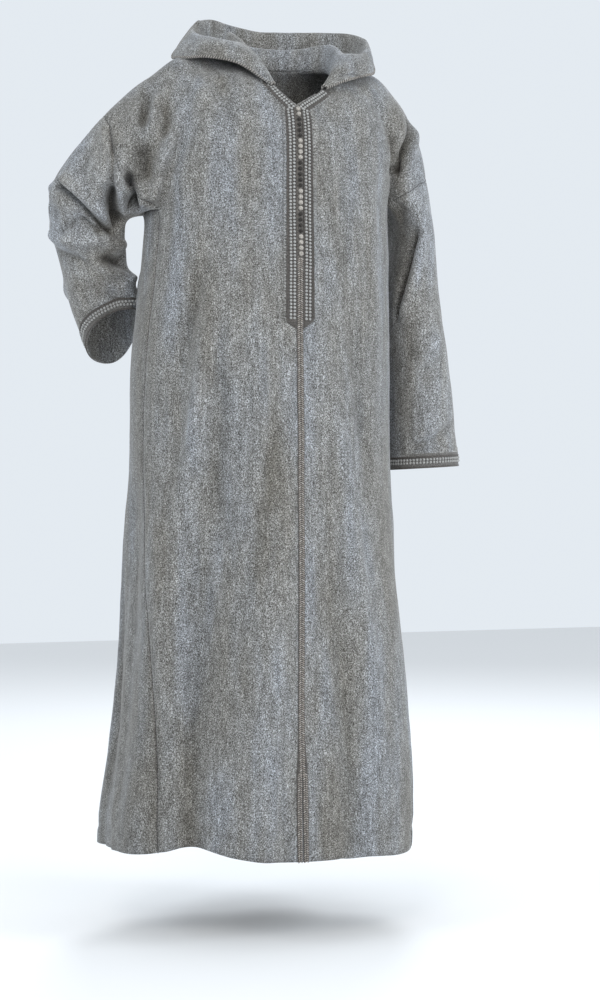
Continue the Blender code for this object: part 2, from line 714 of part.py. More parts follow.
def centreLine(normals, places):
    keys = [yokeKey(1, 0, ring) for ring in range(yokeRings)]
    keys += [bodyKey(1, 0, row) for row in range(chevronRow + 1)]
    line = np.array([places[named[k]] for k in keys])
    lift = np.array([normals[named[k]] for k in keys])
    along = np.concatenate([[0], np.cumsum(np.linalg.norm(np.diff(line, axis=0), axis=1))])
    return along, line, lift


def addButton(number, along, line, lift):
    at = 0.008 + buttonPitch * number
    place = np.array([np.interp(at, along, line[:, k]) for k in range(3)])
    up = unit(np.array([np.interp(at, along, lift[:, k]) for k in range(3)]))
    light = number in lightButtons
    centre = place + up * (braidLift + braidWall + 0.0003 + buttonRadius * 0.86)
    name = "button_%02d" % (number + 1)
    mesh = bpy.data.meshes.new(name)
    bm = bmesh.new()
    bmesh.ops.create_uvsphere(bm, u_segments=8, v_segments=5, radius=buttonRadius)
    turn = Vector((0, 0, 1)).rotation_difference(Vector(up))
    for vert in bm.verts:
        place = Vector((vert.co.x, vert.co.y, vert.co.z * 0.86))
        place.rotate(turn)
        vert.co = place + Vector(centre)
    bmesh.ops.triangulate(bm, faces=bm.faces)
    bm.to_mesh(mesh)
    bm.free()
    made = bpy.data.objects.new(name, mesh)
    made.data.materials.append(material(name, paleKnot if light else darkKnot))
    bpy.context.scene.collection.objects.link(made)


def main():
    for old in list(bpy.data.objects):
        bpy.data.objects.remove(old)
    for side in (-1, 1):
        addYoke(side)
    for side in (-1, 1):
        addBody(side)
    for side in (-1, 1):
        addArm(side)
    tree = BVHTree.FromPolygons([tuple(v) for v in points], [corners for _, corners in faces])
    for side in (-1, 1):
        addHood(side, tree)
    places = np.array(points)
    normals, full = pointNormals(places, faces)
    panels = {}
    for panel, corners in faces:
        panels.setdefault(panel, []).append(list(corners))
    for panel, quads in panels.items():
        solid(panel, quads, places, normals, 0.0, -clothWall, full, seamGap / 2, wool)
    low, high = braidLift, braidLift + braidWall
    strips = {
        "placket_braid_right": stripFaces(lambda s, c, r: s < 0 and c == 1 and r < placketRow) + neckBand(-1),
        "placket_braid_left": stripFaces(lambda s, c, r: s > 0 and c == 1 and r < placketRow) + neckBand(1),
        "loop_strip": stripFaces(lambda s, c, r: c == 0 and r < chevronRow),
        "front_braid": stripFaces(lambda s, c, r: c == 0 and chevronRow <= r < slitRow),
        "slit_braid_right": stripFaces(lambda s, c, r: s < 0 and c == 0 and r >= slitRow),
        "slit_braid_left": stripFaces(lambda s, c, r: s > 0 and c == 0 and r >= slitRow),
        "cuff_braid_right": cuffBand(-1),
        "cuff_braid_left": cuffBand(1),
    }
    for name, quads in strips.items():
        solid(name, quads, places, normals, high, low, full * 0 + 1, seamGap / 2, braid)
    along, line, lift = centreLine(normals, places)
    for number in range(27):
        addButton(number, along, line, lift)


main()
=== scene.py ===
# A hooded djellaba robe of marled wool, worn with the right hand on the hip.
# Metres, Z up, the front faces -Y, the wearer's left is +X.
import math

import bmesh
import bpy
import numpy as np
from mathutils import Matrix, Vector, noise
from mathutils.bvhtree import BVHTree
from mathutils.kdtree import KDTree


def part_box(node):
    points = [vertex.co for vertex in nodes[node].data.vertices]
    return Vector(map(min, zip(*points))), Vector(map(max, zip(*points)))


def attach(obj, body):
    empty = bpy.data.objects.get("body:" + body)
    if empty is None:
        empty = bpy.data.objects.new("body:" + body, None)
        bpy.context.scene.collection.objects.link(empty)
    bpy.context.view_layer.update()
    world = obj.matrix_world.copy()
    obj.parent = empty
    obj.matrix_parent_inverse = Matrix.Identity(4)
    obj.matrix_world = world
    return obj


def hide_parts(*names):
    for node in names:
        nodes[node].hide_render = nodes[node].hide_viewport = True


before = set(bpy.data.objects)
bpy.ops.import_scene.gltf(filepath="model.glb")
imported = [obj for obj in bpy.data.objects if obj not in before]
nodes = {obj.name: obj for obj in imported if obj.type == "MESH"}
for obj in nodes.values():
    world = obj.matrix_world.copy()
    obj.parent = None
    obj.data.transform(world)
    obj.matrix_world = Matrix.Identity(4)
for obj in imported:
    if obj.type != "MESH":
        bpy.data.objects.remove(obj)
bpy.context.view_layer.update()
print("frame loaded,", len(nodes), "nodes")


# Materials
def startMaterial(name, roughness, sheen):
    made = bpy.data.materials.new(name)
    made.use_nodes = True
    shader = made.node_tree.nodes["Principled BSDF"]
    shader.inputs["Roughness"].default_value = roughness
    shader.inputs["Specular IOR Level"].default_value = 0.18
    shader.inputs["Sheen Weight"].default_value = sheen
    shader.inputs["Sheen Roughness"].default_value = 0.45
    return made, made.node_tree.nodes, made.node_tree.links, shader


def stretched(tree, links, scale):
    place = tree.new("ShaderNodeTexCoord")
    mapping = tree.new("ShaderNodeMapping")
    mapping.inputs["Scale"].default_value = scale
    links.new(place.outputs["Object"], mapping.inputs["Vector"])
    return mapping.outputs["Vector"]


def grain(tree, links, vector, scale, detail=1.0, roughness=0.5):
    made = tree.new("ShaderNodeTexNoise")
    made.inputs["Scale"].default_value = scale
    made.inputs["Detail"].default_value = detail
    made.inputs["Roughness"].default_value = roughness
    links.new(vector, made.inputs["Vector"])
    return made.outputs["Fac"]


def ramp(tree, links, value, stops):
    made = tree.new("ShaderNodeValToRGB")
    band = made.color_ramp
    while len(band.elements) < len(stops):
        band.elements.new(0.5)
    for element, (at, colour) in zip(band.elements, stops):
        element.position = at
        element.color = (*colour, 1)
    links.new(value, made.inputs["Fac"])
    return made.outputs["Color"]


def multiplied(tree, links, first, second):
    made = tree.new("ShaderNodeMix")
    made.data_type = "RGBA"
    made.blend_type = "MULTIPLY"
    made.inputs[0].default_value = 1.0
    links.new(first, made.inputs[6])
    links.new(second, made.inputs[7])
    return made.outputs[2]


def bumped(tree, links, shader, value, strength, distance):
    made = tree.new("ShaderNodeBump")
    made.inputs["Strength"].default_value = strength
    made.inputs["Distance"].default_value = distance
    links.new(value, made.inputs["Height"])
    links.new(made.outputs["Normal"], shader.inputs["Normal"])


wool = {
    "fleck": 620, "fleckStretch": (1.0, 1.0, 0.72), "rib": 210, "ribStretch": (1.0, 1.0, 0.05),
    "cloud": 16, "cloudStretch": (1.0, 1.0, 0.18), "patch": 75, "patchStretch": (1.0, 1.0, 0.5),
    "roughness": 0.95, "sheen": 0.22, "bump": 0.3, "bumpDepth": 0.0008, "paintedFoldShadeGain": 32,
    "fleckStops": [
        (0.31, (0.038, 0.036, 0.032)), (0.42, (0.106, 0.103, 0.098)), (0.50, (0.162, 0.162, 0.159)),
        (0.58, (0.232, 0.234, 0.235)), (0.69, (0.410, 0.417, 0.423)),
    ],
    "patchStops": [(0.36, (0.86, 0.855, 0.85)), (0.64, (1.09, 1.095, 1.10))],
    "ribStops": [(0.36, (0.88, 0.88, 0.88)), (0.64, (1.10, 1.10, 1.10))],
    "cloudStops": [(0.34, (0.87, 0.835, 0.775)), (0.5, (0.99, 0.985, 0.97)), (0.66, (1.05, 1.09, 1.16))],
    # painted shade in the hollows of the folds, painted highlight on their ridges
    "paintedFoldShadeStops": [
        (0.0, (0.36, 0.345, 0.325)), (0.24, (0.79, 0.775, 0.75)), (0.5, (1.0, 1.0, 1.0)),
        (1.0, (1.12, 1.13, 1.15)),
    ],
}


# Flecks of yarn, times ribs, patches, clouds of tone, and painted shade in the hollows of the folds with
# painted highlight on their ridges
def marledWool(name, shade):
    made, tree, links, shader = startMaterial(name, wool["roughness"], wool["sheen"])
    flecks = grain(tree, links, stretched(tree, links, wool["fleckStretch"]), wool["fleck"], 1.5, 0.6)
    ribs = grain(tree, links, stretched(tree, links, wool["ribStretch"]), wool["rib"])
    clouds = grain(tree, links, stretched(tree, links, wool["cloudStretch"]), wool["cloud"], 2.0)
    patches = grain(tree, links, stretched(tree, links, wool["patchStretch"]), wool["patch"])
    colour = ramp(tree, links, flecks, wool["fleckStops"])
    # the fold attribute paints shade into the hollows and highlight onto the ridges
    foldForPaintedShade = tree.new("ShaderNodeAttribute")
    foldForPaintedShade.attribute_name = "fold"
    level = tree.new("ShaderNodeMath")
    level.operation = "ADD"
    level.inputs[1].default_value = 0.5
    links.new(foldForPaintedShade.outputs["Fac"], level.inputs[0])
    # shade is the panel's tone, which holds painted light for the sleeves and gores
    tones = [(at, tuple(c * shade for c in tone)) for at, tone in wool["cloudStops"]]
    for value, stops in ((ribs, wool["ribStops"]), (patches, wool["patchStops"]), (clouds, tones),
                         (level.outputs[0], wool["paintedFoldShadeStops"])):
        colour = multiplied(tree, links, colour, ramp(tree, links, value, stops))
    links.new(colour, shader.inputs["Base Color"])
    bumped(tree, links, shader, flecks, wool["bump"], wool["bumpDepth"])
    return made


cord = {"roughness": 0.8, "sheen": 0.2, "thread": 900, "bump": 0.5, "bumpDepth": 0.0006, "stops": (0.36, 0.64)}


def cordMaterial(name, dark, light):
    made, tree, links, shader = startMaterial(name, cord["roughness"], cord["sheen"])
    threads = grain(tree, links, stretched(tree, links, (1.0, 1.0, 1.0)), cord["thread"], 1.5, 0.6)
    colour = ramp(tree, links, threads, list(zip(cord["stops"], (dark, light))))
    links.new(colour, shader.inputs["Base Color"])
    bumped(tree, links, shader, threads, cord["bump"], cord["bumpDepth"])
    return made


finishes = {
    "darkBraid": cordMaterial("dark_braid", (0.028, 0.026, 0.024), (0.115, 0.105, 0.097)),
    "paleThread": cordMaterial("pale_thread", (0.17, 0.168, 0.162), (0.40, 0.40, 0.39)),
    "cuffBraid": cordMaterial("cuff_braid", (0.050, 0.048, 0.045), (0.19, 0.182, 0.173)),
    "stripThread": cordMaterial("strip_thread", (0.105, 0.092, 0.082), (0.37, 0.335, 0.30)),
    "stripFleck": cordMaterial("strip_fleck", (0.20, 0.185, 0.17), (0.52, 0.50, 0.47)),
    "loopCord": cordMaterial("loop_cord", (0.045, 0.041, 0.037), (0.20, 0.183, 0.167)),
    "paleKnot": cordMaterial("pale_knot", (0.15, 0.138, 0.122), (0.48, 0.45, 0.41)),
    "darkKnot": cordMaterial("dark_knot", (0.008, 0.007, 0.006), (0.045, 0.040, 0.036)),
    "seamThread": cordMaterial("seam_thread", (0.012, 0.011, 0.010), (0.05, 0.045, 0.042)),
}
print("materials made")


def linked(name, data):
    made = bpy.data.objects.new(name, data)
    bpy.context.scene.collection.objects.link(made)
    return made


def treeOf(points):
    tree = KDTree(len(points))
    for k, place in enumerate(points):
        tree.insert(place, k)
    tree.balance()
    return tree


def thicken(made, thickness, offset):
    wall = made.modifiers.new("wall", "SOLIDIFY")
    wall.thickness = thickness
    wall.offset = offset


# The cloth, from the outer layer of each panel's solid, which is the one nearer to the point given here
panels = {
    "front_right": (-0.15, -0.9, -0.5), "front_left": (0.1, -0.9, -0.5), "back": (-0.05, 0.9, -0.6),
    "gore_right": (-0.9, 0.0, -0.9), "gore_left": (0.9, 0.0, -0.9), "sleeve_right": (-0.9, 0.0, -0.35),
    "sleeve_left": (0.9, 0.0, -0.45), "hood": (0.0, 0.9, 0.0),
}
panelNames = list(panels)
# Each panel's wool is scaled from the body's tone: the sleeves are painted lighter to offset the shade they lie
# in beside the body, and the gores painted darker to offset the side light on them
paintedLightByPanel = {"sleeve_right": 1.09, "sleeve_left": 1.10, "gore_right": 0.90, "gore_left": 0.95, "hood": 1.0}
bodyTone = 0.975
woolOf = {name: marledWool("wool_" + name, paintedLightByPanel.get(name, bodyTone)) for name in panelNames}

layers = {"weld": 0.00002, "skin": 0.00005, "deepest": 0.0032, "opposite": -0.7, "level": 0.35, "join": 0.0006}


# A wide face has the solid's other side close behind it; the faces of a cut edge don't
def outerLayer(name, outside):
    layer = bmesh.new()
    layer.from_mesh(nodes[name].data)
    bmesh.ops.remove_doubles(layer, verts=layer.verts, dist=layers["weld"])
    layer.normal_update()
    tree = BVHTree.FromBMesh(layer)
    wide = set()
    for face in layer.faces:
        start = face.calc_center_median() - face.normal * layers["skin"]
        hit, normal, _, _ = tree.ray_cast(start, -face.normal, layers["deepest"])
        if hit is not None and normal.dot(face.normal) < layers["opposite"]:
            wide.add(face)
    groups, left = [], set(wide)
    while left:
        group, queue = set(), [left.pop()]
        while queue:
            face = queue.pop()
            group.add(face)
            for edge in face.edges:
                for other in edge.link_faces:
                    if other in left and other.normal.dot(face.normal) > layers["level"]:
                        left.remove(other)
                        queue.append(other)
        groups.append(group)
    groups.sort(key=lambda g: -sum(f.calc_area() for f in g))
    eye = Vector(outside)
    kept = min(groups[:2], key=lambda g: min((f.calc_center_median() - eye).length for f in g))
    bmesh.ops.delete(layer, geom=[f for f in layer.faces if f not in kept], context="FACES")
    bmesh.ops.join_triangles(
        layer, faces=layer.faces, angle_face_threshold=math.pi, angle_shape_threshold=math.pi)
    return layer


def weldedCloth():
    cloth = bmesh.new()
    for index, name in enumerate(panelNames):
        layer = outerLayer(name, panels[name])
        for face in layer.faces:
            face.material_index = index
        mesh = bpy.data.meshes.new(name + "_layer")
        layer.to_mesh(mesh)
        layer.free()
        cloth.from_mesh(mesh)
        bpy.data.meshes.remove(mesh)
    bmesh.ops.remove_doubles(cloth, verts=cloth.verts, dist=layers["join"])
    return cloth


def smoothed(bm, levels, materials):
    mesh = bpy.data.meshes.new("cloth_draft")
    bm.to_mesh(mesh)
    for material in materials:
        mesh.materials.append(material)
    holder = linked("cloth_draft", mesh)
    modifier = holder.modifiers.new("smooth", "SUBSURF")
    modifier.levels = modifier.render_levels = levels
    modifier.boundary_smooth = "PRESERVE_CORNERS"
    seen = holder.evaluated_get(bpy.context.evaluated_depsgraph_get())
    result = bpy.data.meshes.new_from_object(seen)
    bpy.data.objects.remove(holder)
    bpy.data.meshes.remove(mesh)
    made = bmesh.new()
    made.from_mesh(result)
    bpy.data.meshes.remove(result)
    return made


def ease(t):
    t = np.clip(t, 0, 1)
    return t * t * (3 - 2 * t)


def curved(points, count):
    points = np.array(points, float)
    along = np.concatenate([[0], np.cumsum(np.linalg.norm(np.diff(points, axis=0), axis=1))])
    if len(points) < 3:
        at = np.linspace(0, along[-1], count)
        return np.stack([np.interp(at, along, points[:, k]) for k in range(3)], axis=1)
    slope = np.gradient(points, along, axis=0)
    at = np.linspace(0, along[-1], count)
    i = np.clip(np.searchsorted(along, at, side="right") - 1, 0, len(along) - 2)
    step = (along[i + 1] - along[i])[:, None]
    t = ((at - along[i])[:, None]) / step
    return ((1 + 2 * t) * (1 - t) ** 2 * points[i] + t * t * (3 - 2 * t) * points[i + 1]
            + (t * (1 - t) ** 2 * slope[i] - t * t * (1 - t) * slope[i + 1]) * step)


# Folds and creases: a path in metres, how wide, how far out (+) or in (-), and how the ends fade
def foldPush(places, path, width, rise, startFade, endFade):
    line = curved(path, shape["foldSteps"])
    nearest = np.full(len(places), 1e9)
    share = np.zeros(len(places))
    for k in range(len(line) - 1):
        a, ab = line[k], line[k + 1] - line[k]
        t = np.clip(((places - a) @ ab) / ab.dot(ab), 0, 1)
        away = np.linalg.norm(places - a - t[:, None] * ab, axis=1)
        closer = away < nearest
        nearest = np.where(closer, away, nearest)
        share = np.where(closer, (k + t) / (len(line) - 1), share)
    fade = ease(share / max(startFade, 1e-6)) * ease((1 - share) / max(endFade, 1e-6))
    return rise * fade * np.exp(-((nearest / width) ** 2))


folds = {
    # right shoulder and armpit, from the photograph
    "sleeve welt": ([(-0.346, 0.005, -0.084), (-0.348, -0.018, -0.119), (-0.350, -0.031, -0.157),
        (-0.348, -0.029, -0.192), (-0.346, -0.015, -0.220)], 0.009, 0.010, 0.35, 0.15),
    "sleeve seam": ([(-0.337, 0.006, -0.086), (-0.341, -0.025, -0.123), (-0.342, -0.036, -0.157),
        (-0.341, -0.036, -0.187), (-0.338, -0.025, -0.208)], 0.006, -0.009, 0.3, 0.05),
    "armpit pocket": ([(-0.340, -0.030, -0.198), (-0.336, -0.015, -0.226), (-0.329, -0.001, -0.245),
        (-0.317, 0.013, -0.261), (-0.300, 0.035, -0.275)], 0.009, -0.034, 0.35, 0.1),
    "armpit tube": ([(-0.332, -0.043, -0.160), (-0.328, -0.040, -0.201), (-0.318, -0.016, -0.236),
        (-0.306, 0.013, -0.259)], 0.009, 0.011, 0.35, 0.1),
    "armpit deep fold": ([(-0.318, -0.049, -0.172), (-0.312, -0.046, -0.201), (-0.305, -0.036, -0.228),
        (-0.292, -0.002, -0.248)], 0.009, -0.033, 0.35, 0.0),
    "armpit thin crease": ([(-0.319, -0.050, -0.158), (-0.309, -0.052, -0.172), (-0.298, -0.052, -0.194),
        (-0.279, -0.047, -0.222)], 0.005, -0.004, 0.3, 0.2),
    "gusset ridge": ([(-0.296, -0.045, -0.222), (-0.284, -0.031, -0.242)], 0.008, 0.006, 0.4, 0.1),
    "armpit hollow": ([(-0.299, -0.051, -0.112), (-0.292, -0.057, -0.148), (-0.281, -0.059, -0.183),
        (-0.276, -0.053, -0.209)], 0.022, -0.016, 0.4, 0.15),
    "chest edge": ([(-0.236, -0.078, -0.100), (-0.243, -0.079, -0.131), (-0.253, -0.074, -0.154),
        (-0.261, -0.064, -0.183), (-0.266, -0.051, -0.217), (-0.268, -0.042, -0.237)], 0.012, 0.017, 0.3, 0.05),
    "brown hollow": ([(-0.263, -0.026, -0.022), (-0.276, -0.038, -0.054), (-0.287, -0.049, -0.090),
        (-0.295, -0.055, -0.121)], 0.012, -0.012, 0.35, 0.3),
    "second hollow": ([(-0.246, -0.049, -0.047), (-0.249, -0.062, -0.079), (-0.252, -0.069, -0.109),
        (-0.259, -0.070, -0.140)], 0.009, -0.01, 0.35, 0.3),
    "ridge between": ([(-0.255, -0.034, -0.027), (-0.266, -0.049, -0.063), (-0.273, -0.059, -0.097),
        (-0.276, -0.063, -0.127)], 0.009, 0.009, 0.35, 0.3),
    "ridge beside": ([(-0.291, -0.025, -0.050), (-0.304, -0.037, -0.083),
        (-0.312, -0.046, -0.116)], 0.012, 0.005, 0.35, 0.3),
    "outer ridge": ([(-0.364, -0.015, -0.142), (-0.364, -0.020, -0.183), (-0.358, -0.011, -0.216),
        (-0.351, -0.002, -0.243)], 0.013, 0.008, 0.35, 0.25),
    "sleeve shade": ([(-0.376, 0.000, -0.132), (-0.384, -0.004, -0.168),
        (-0.388, 0.001, -0.195)], 0.012, -0.007, 0.35, 0.3),
    # right elbow and forearm
    "elbow crease": ([(-0.421, 0.068, -0.194), (-0.408, 0.027, -0.219), (-0.395, 0.013, -0.235),
        (-0.368, 0.009, -0.261), (-0.337, 0.016, -0.280), (-0.304, 0.043, -0.291)], 0.0065, -0.021, 0.08, 0.15),
    "elbow lip": ([(-0.420, 0.050, -0.182), (-0.397, 0.012, -0.214), (-0.370, 0.002, -0.241),
        (-0.343, 0.007, -0.261), (-0.315, 0.026, -0.274)], 0.011, 0.011, 0.15, 0.3),
    "elbow second": ([(-0.392, 0.020, -0.256), (-0.378, 0.019, -0.267), (-0.360, 0.017, -0.280),
        (-0.332, 0.023, -0.295)], 0.006, -0.014, 0.25, 0.25),
    "elbow between": ([(-0.404, 0.026, -0.238), (-0.392, 0.017, -0.248), (-0.367, 0.013, -0.270),
        (-0.340, 0.017, -0.288)], 0.007, 0.007, 0.2, 0.3),
    "elbow third": ([(-0.386, 0.023, -0.262), (-0.402, 0.050, -0.282),
        (-0.411, 0.077, -0.290)], 0.006, -0.008, 0.2, 0.4),
    "elbow high bump": ([(-0.424, 0.078, -0.212), (-0.417, 0.047, -0.228),
        (-0.409, 0.034, -0.240)], 0.013, 0.0045, 0.1, 0.3),
    "elbow dent": ([(-0.425, 0.100, -0.236), (-0.421, 0.070, -0.250),
        (-0.413, 0.050, -0.262)], 0.010, -0.007, 0.1, 0.3),
    "elbow low bump": ([(-0.417, 0.110, -0.283), (-0.408, 0.068, -0.297), (-0.387, 0.043, -0.303),
        (-0.354, 0.027, -0.305), (-0.314, 0.036, -0.304), (-0.290, 0.060, -0.304)], 0.013, 0.010, 0.05, 0.05),
    "forearm dent": ([(-0.412, 0.120, -0.318), (-0.402, 0.088, -0.322), (-0.390, 0.065, -0.330),
        (-0.376, 0.050, -0.339), (-0.358, 0.045, -0.353), (-0.338, 0.044, -0.362)], 0.010, -0.010, 0.05, 0.35),
    "forearm hollow": ([(-0.350, 0.034, -0.328), (-0.327, 0.035, -0.335), (-0.300, 0.050, -0.336),
        (-0.288, 0.066, -0.333)], 0.011, -0.017, 0.35, 0.0),
    "forearm light": ([(-0.366, 0.041, -0.338), (-0.334, 0.040, -0.350), (-0.304, 0.049, -0.356),
        (-0.280, 0.081, -0.359)], 0.010, 0.009, 0.3, 0.0),
    "forearm inside": ([(-0.289, 0.060, -0.352), (-0.280, 0.075, -0.370), (-0.272, 0.084, -0.390),
        (-0.266, 0.090, -0.410), (-0.262, 0.094, -0.430)], 0.022, 0.012, 0.2, 0.4),
    "forearm last": ([(-0.325, 0.056, -0.383), (-0.311, 0.065, -0.398),
        (-0.297, 0.073, -0.413)], 0.010, -0.006, 0.3, 0.2),
    "back of elbow": ([(-0.424, 0.095, -0.205), (-0.412, 0.145, -0.245),
        (-0.370, 0.175, -0.285)], 0.010, -0.0168, 0.1, 0.4),
    "back of elbow lip": ([(-0.424, 0.085, -0.185), (-0.410, 0.140, -0.222),
        (-0.375, 0.170, -0.260)], 0.013, 0.0112, 0.2, 0.4),
    "back of elbow ridge": ([(-0.424, 0.110, -0.262), (-0.400, 0.160, -0.295),
        (-0.350, 0.188, -0.330)], 0.014, 0.008, 0.2, 0.4),
    "back of sleeve": ([(-0.345, 0.100, -0.160), (-0.372, 0.145, -0.225),
        (-0.372, 0.170, -0.290)], 0.013, -0.014, 0.3, 0.4),
    "back of forearm": ([(-0.404, 0.135, -0.335), (-0.350, 0.188, -0.375),
        (-0.290, 0.182, -0.372)], 0.012, -0.014, 0.2, 0.4),
    "back of forearm ridge": ([(-0.395, 0.130, -0.365), (-0.345, 0.180, -0.400),
        (-0.290, 0.178, -0.400)], 0.012, 0.0084, 0.3, 0.4),
    "back armpit": ([(-0.255, 0.085, -0.120), (-0.275, 0.085, -0.180),
        (-0.282, 0.070, -0.235)], 0.012, -0.015, 0.4, 0.0),
    "back armpit ridge": ([(-0.225, 0.095, -0.110), (-0.245, 0.092, -0.170),
        (-0.258, 0.075, -0.235)], 0.013, 0.009, 0.4, 0.1),
    "back armpit second": ([(-0.300, 0.095, -0.130), (-0.312, 0.090, -0.190),
        (-0.305, 0.075, -0.245)], 0.009, -0.0126, 0.4, 0.1),
    # left shoulder and sleeve
    "left armpit crease": ([(0.240, -0.030, -0.040), (0.233, -0.059, -0.064), (0.222, -0.079, -0.098),
        (0.208, -0.085, -0.121), (0.200, -0.081, -0.137), (0.195, -0.064, -0.165)], 0.008, -0.02, 0.3, 0.05),
    "left armpit ridge": ([(0.255, -0.025, -0.052), (0.250, -0.045, -0.075), (0.234, -0.075, -0.112),
        (0.220, -0.082, -0.140), (0.208, -0.082, -0.159)], 0.010, 0.008, 0.3, 0.2),
    "left chest edge": ([(0.212, -0.070, -0.050), (0.200, -0.086, -0.094), (0.188, -0.090, -0.122),
        (0.178, -0.090, -0.160)], 0.013, 0.008, 0.3, 0.3),
    "left shadow": ([(0.215, -0.064, -0.206), (0.215, -0.048, -0.233),
        (0.216, -0.035, -0.262)], 0.014, -0.009, 0.3, 0.4),
    "left long crease": ([(0.245, -0.073, -0.250), (0.240, -0.056, -0.294), (0.231, -0.046, -0.341),
        (0.221, -0.034, -0.394), (0.217, -0.022, -0.438)], 0.0075, -0.02, 0.25, 0.15),
    "left long ridge": ([(0.254, -0.078, -0.255), (0.249, -0.070, -0.301), (0.240, -0.061, -0.348),
        (0.230, -0.048, -0.399), (0.224, -0.033, -0.445)], 0.011, 0.011, 0.25, 0.2),
    "left elbow outer": ([(0.320, -0.030, -0.330), (0.327, 0.010, -0.350),
        (0.318, 0.050, -0.365)], 0.014, -0.006, 0.3, 0.3),
    "left fore fold": ([(0.310, -0.058, -0.455), (0.270, -0.067, -0.482),
        (0.236, -0.050, -0.510)], 0.018, 0.005, 0.3, 0.3),
    "left fore shade": ([(0.320, -0.050, -0.500), (0.280, -0.067, -0.530),
        (0.240, -0.052, -0.560)], 0.018, -0.005, 0.3, 0.3),
    "left cuff crease": ([(0.345, -0.030, -0.618), (0.322, -0.047, -0.629), (0.276, -0.064, -0.659),
        (0.231, -0.036, -0.674)], 0.009, -0.009, 0.5, 0.2),
    "left cuff ridge": ([(0.345, -0.030, -0.600), (0.318, -0.050, -0.610), (0.274, -0.066, -0.640),
        (0.231, -0.040, -0.655)], 0.013, 0.005, 0.5, 0.3),
    "left back crease": ([(0.290, 0.060, -0.230), (0.275, 0.080, -0.310),
        (0.245, 0.075, -0.380)], 0.012, -0.012, 0.3, 0.3),
    "left back ridge": ([(0.305, 0.055, -0.240), (0.292, 0.078, -0.320),
        (0.262, 0.080, -0.400)], 0.013, 0.0098, 0.3, 0.3),
    "left back elbow": ([(0.318, 0.060, -0.400), (0.290, 0.086, -0.430),
        (0.250, 0.080, -0.450)], 0.011, -0.0112, 0.3, 0.3),
    "left back armpit": ([(0.235, 0.090, -0.080), (0.225, 0.092, -0.140),
        (0.205, 0.070, -0.190)], 0.011, -0.014, 0.4, 0.05),
    # front of the body, in soft upright waves
    "chest ridge": ([(-0.168, -0.150, -0.340), (-0.179, -0.149, -0.402), (-0.204, -0.145, -0.490),
        (-0.218, -0.145, -0.595), (-0.230, -0.130, -0.690), (-0.240, -0.118, -0.770),
        (-0.247, -0.124, -0.875)], 0.013, 0.0104, 0.35, 0.4),
    "chest trough": ([(-0.196, -0.130, -0.330), (-0.213, -0.122, -0.400), (-0.228, -0.116, -0.488),
        (-0.240, -0.110, -0.578)], 0.012, -0.0104, 0.4, 0.5),
    "warm first": ([(-0.172, -0.159, -0.420), (-0.182, -0.160, -0.595), (-0.184, -0.150, -0.735),
        (-0.178, -0.158, -0.930)], 0.020, -0.0091, 0.3, 0.4),
    "blue second": ([(-0.100, -0.170, -0.400), (-0.107, -0.170, -0.471), (-0.109, -0.177, -0.595),
        (-0.119, -0.183, -0.760)], 0.017, 0.0065, 0.3, 0.4),
    "warm second": ([(-0.072, -0.178, -0.520), (-0.095, -0.189, -0.735), (-0.127, -0.198, -0.874),
        (-0.146, -0.203, -1.060)], 0.020, -0.0078, 0.3, 0.4),
    "blue third": ([(-0.078, -0.205, -0.850), (-0.090, -0.213, -0.980), (-0.105, -0.220, -1.100),
        (-0.118, -0.230, -1.230), (-0.132, -0.236, -1.400)], 0.022, 0.0091, 0.3, 0.0),
    "blue fourth": ([(0.010, -0.172, -0.430), (0.030, -0.177, -0.628), (0.050, -0.179, -0.734),
        (0.072, -0.184, -0.877), (0.099, -0.193, -1.092), (0.120, -0.195, -1.300)], 0.018, 0.0078, 0.3, 0.3),
    "warm third": ([(0.072, -0.157, -0.420), (0.090, -0.160, -0.626),
        (0.110, -0.161, -0.800)], 0.018, -0.0078, 0.3, 0.4),
    "warm fourth": ([(0.000, -0.197, -0.820), (0.030, -0.204, -1.018), (0.038, -0.216, -1.193),
        (0.045, -0.225, -1.400)], 0.024, -0.0078, 0.3, 0.0),
    "warm fifth": ([(-0.196, -0.136, -0.820), (-0.212, -0.141, -1.015), (-0.224, -0.148, -1.189),
        (-0.238, -0.161, -1.400)], 0.022, -0.0091, 0.3, 0.0),
    "warm left chest": ([(0.062, -0.131, -0.101), (0.063, -0.146, -0.229),
        (0.050, -0.163, -0.394)], 0.018, -0.0052, 0.3, 0.3),
    "blue left chest": ([(0.120, -0.110, -0.090), (0.125, -0.125, -0.220), (0.130, -0.135, -0.380),
        (0.150, -0.140, -0.600)], 0.018, 0.0065, 0.3, 0.4),
    "hood drop": ([(-0.174, -0.037, 0.010), (-0.188, -0.084, -0.048),
        (-0.196, -0.106, -0.125)], 0.014, 0.008, 0.2, 0.5),
    "hood drop hollow": ([(-0.140, -0.060, 0.000), (-0.150, -0.105, -0.060),
        (-0.155, -0.125, -0.130)], 0.018, -0.008, 0.2, 0.5),
    "gore front": ([(-0.284, 0.000, -0.750), (-0.291, 0.010, -1.024), (-0.307, 0.005, -1.204),
        (-0.335, -0.035, -1.400)], 0.016, 0.006, 0.4, 0.0),
    "gore fold": ([(-0.291, 0.060, -0.800), (-0.299, 0.060, -1.026), (-0.309, 0.050, -1.171),
        (-0.330, 0.040, -1.400)], 0.013, -0.009, 0.4, 0.0),
    "gore seam hollow": ([(-0.286, -0.065, -0.850), (-0.292, -0.095, -1.027), (-0.288, -0.125, -1.177),
        (-0.290, -0.140, -1.400)], 0.014, -0.005, 0.4, 0.0),
    # hood
    "hood pocket": ([(0.066, -0.105, 0.006), (0.073, -0.104, 0.010), (0.087, -0.102, 0.013),
        (0.106, -0.096, 0.014), (0.127, -0.086, 0.017)], 0.007, 0.012, 0.15, 0.3),
    "hood crease": ([(0.073, -0.093, 0.022), (0.099, -0.093, 0.025), (0.127, -0.085, 0.023),
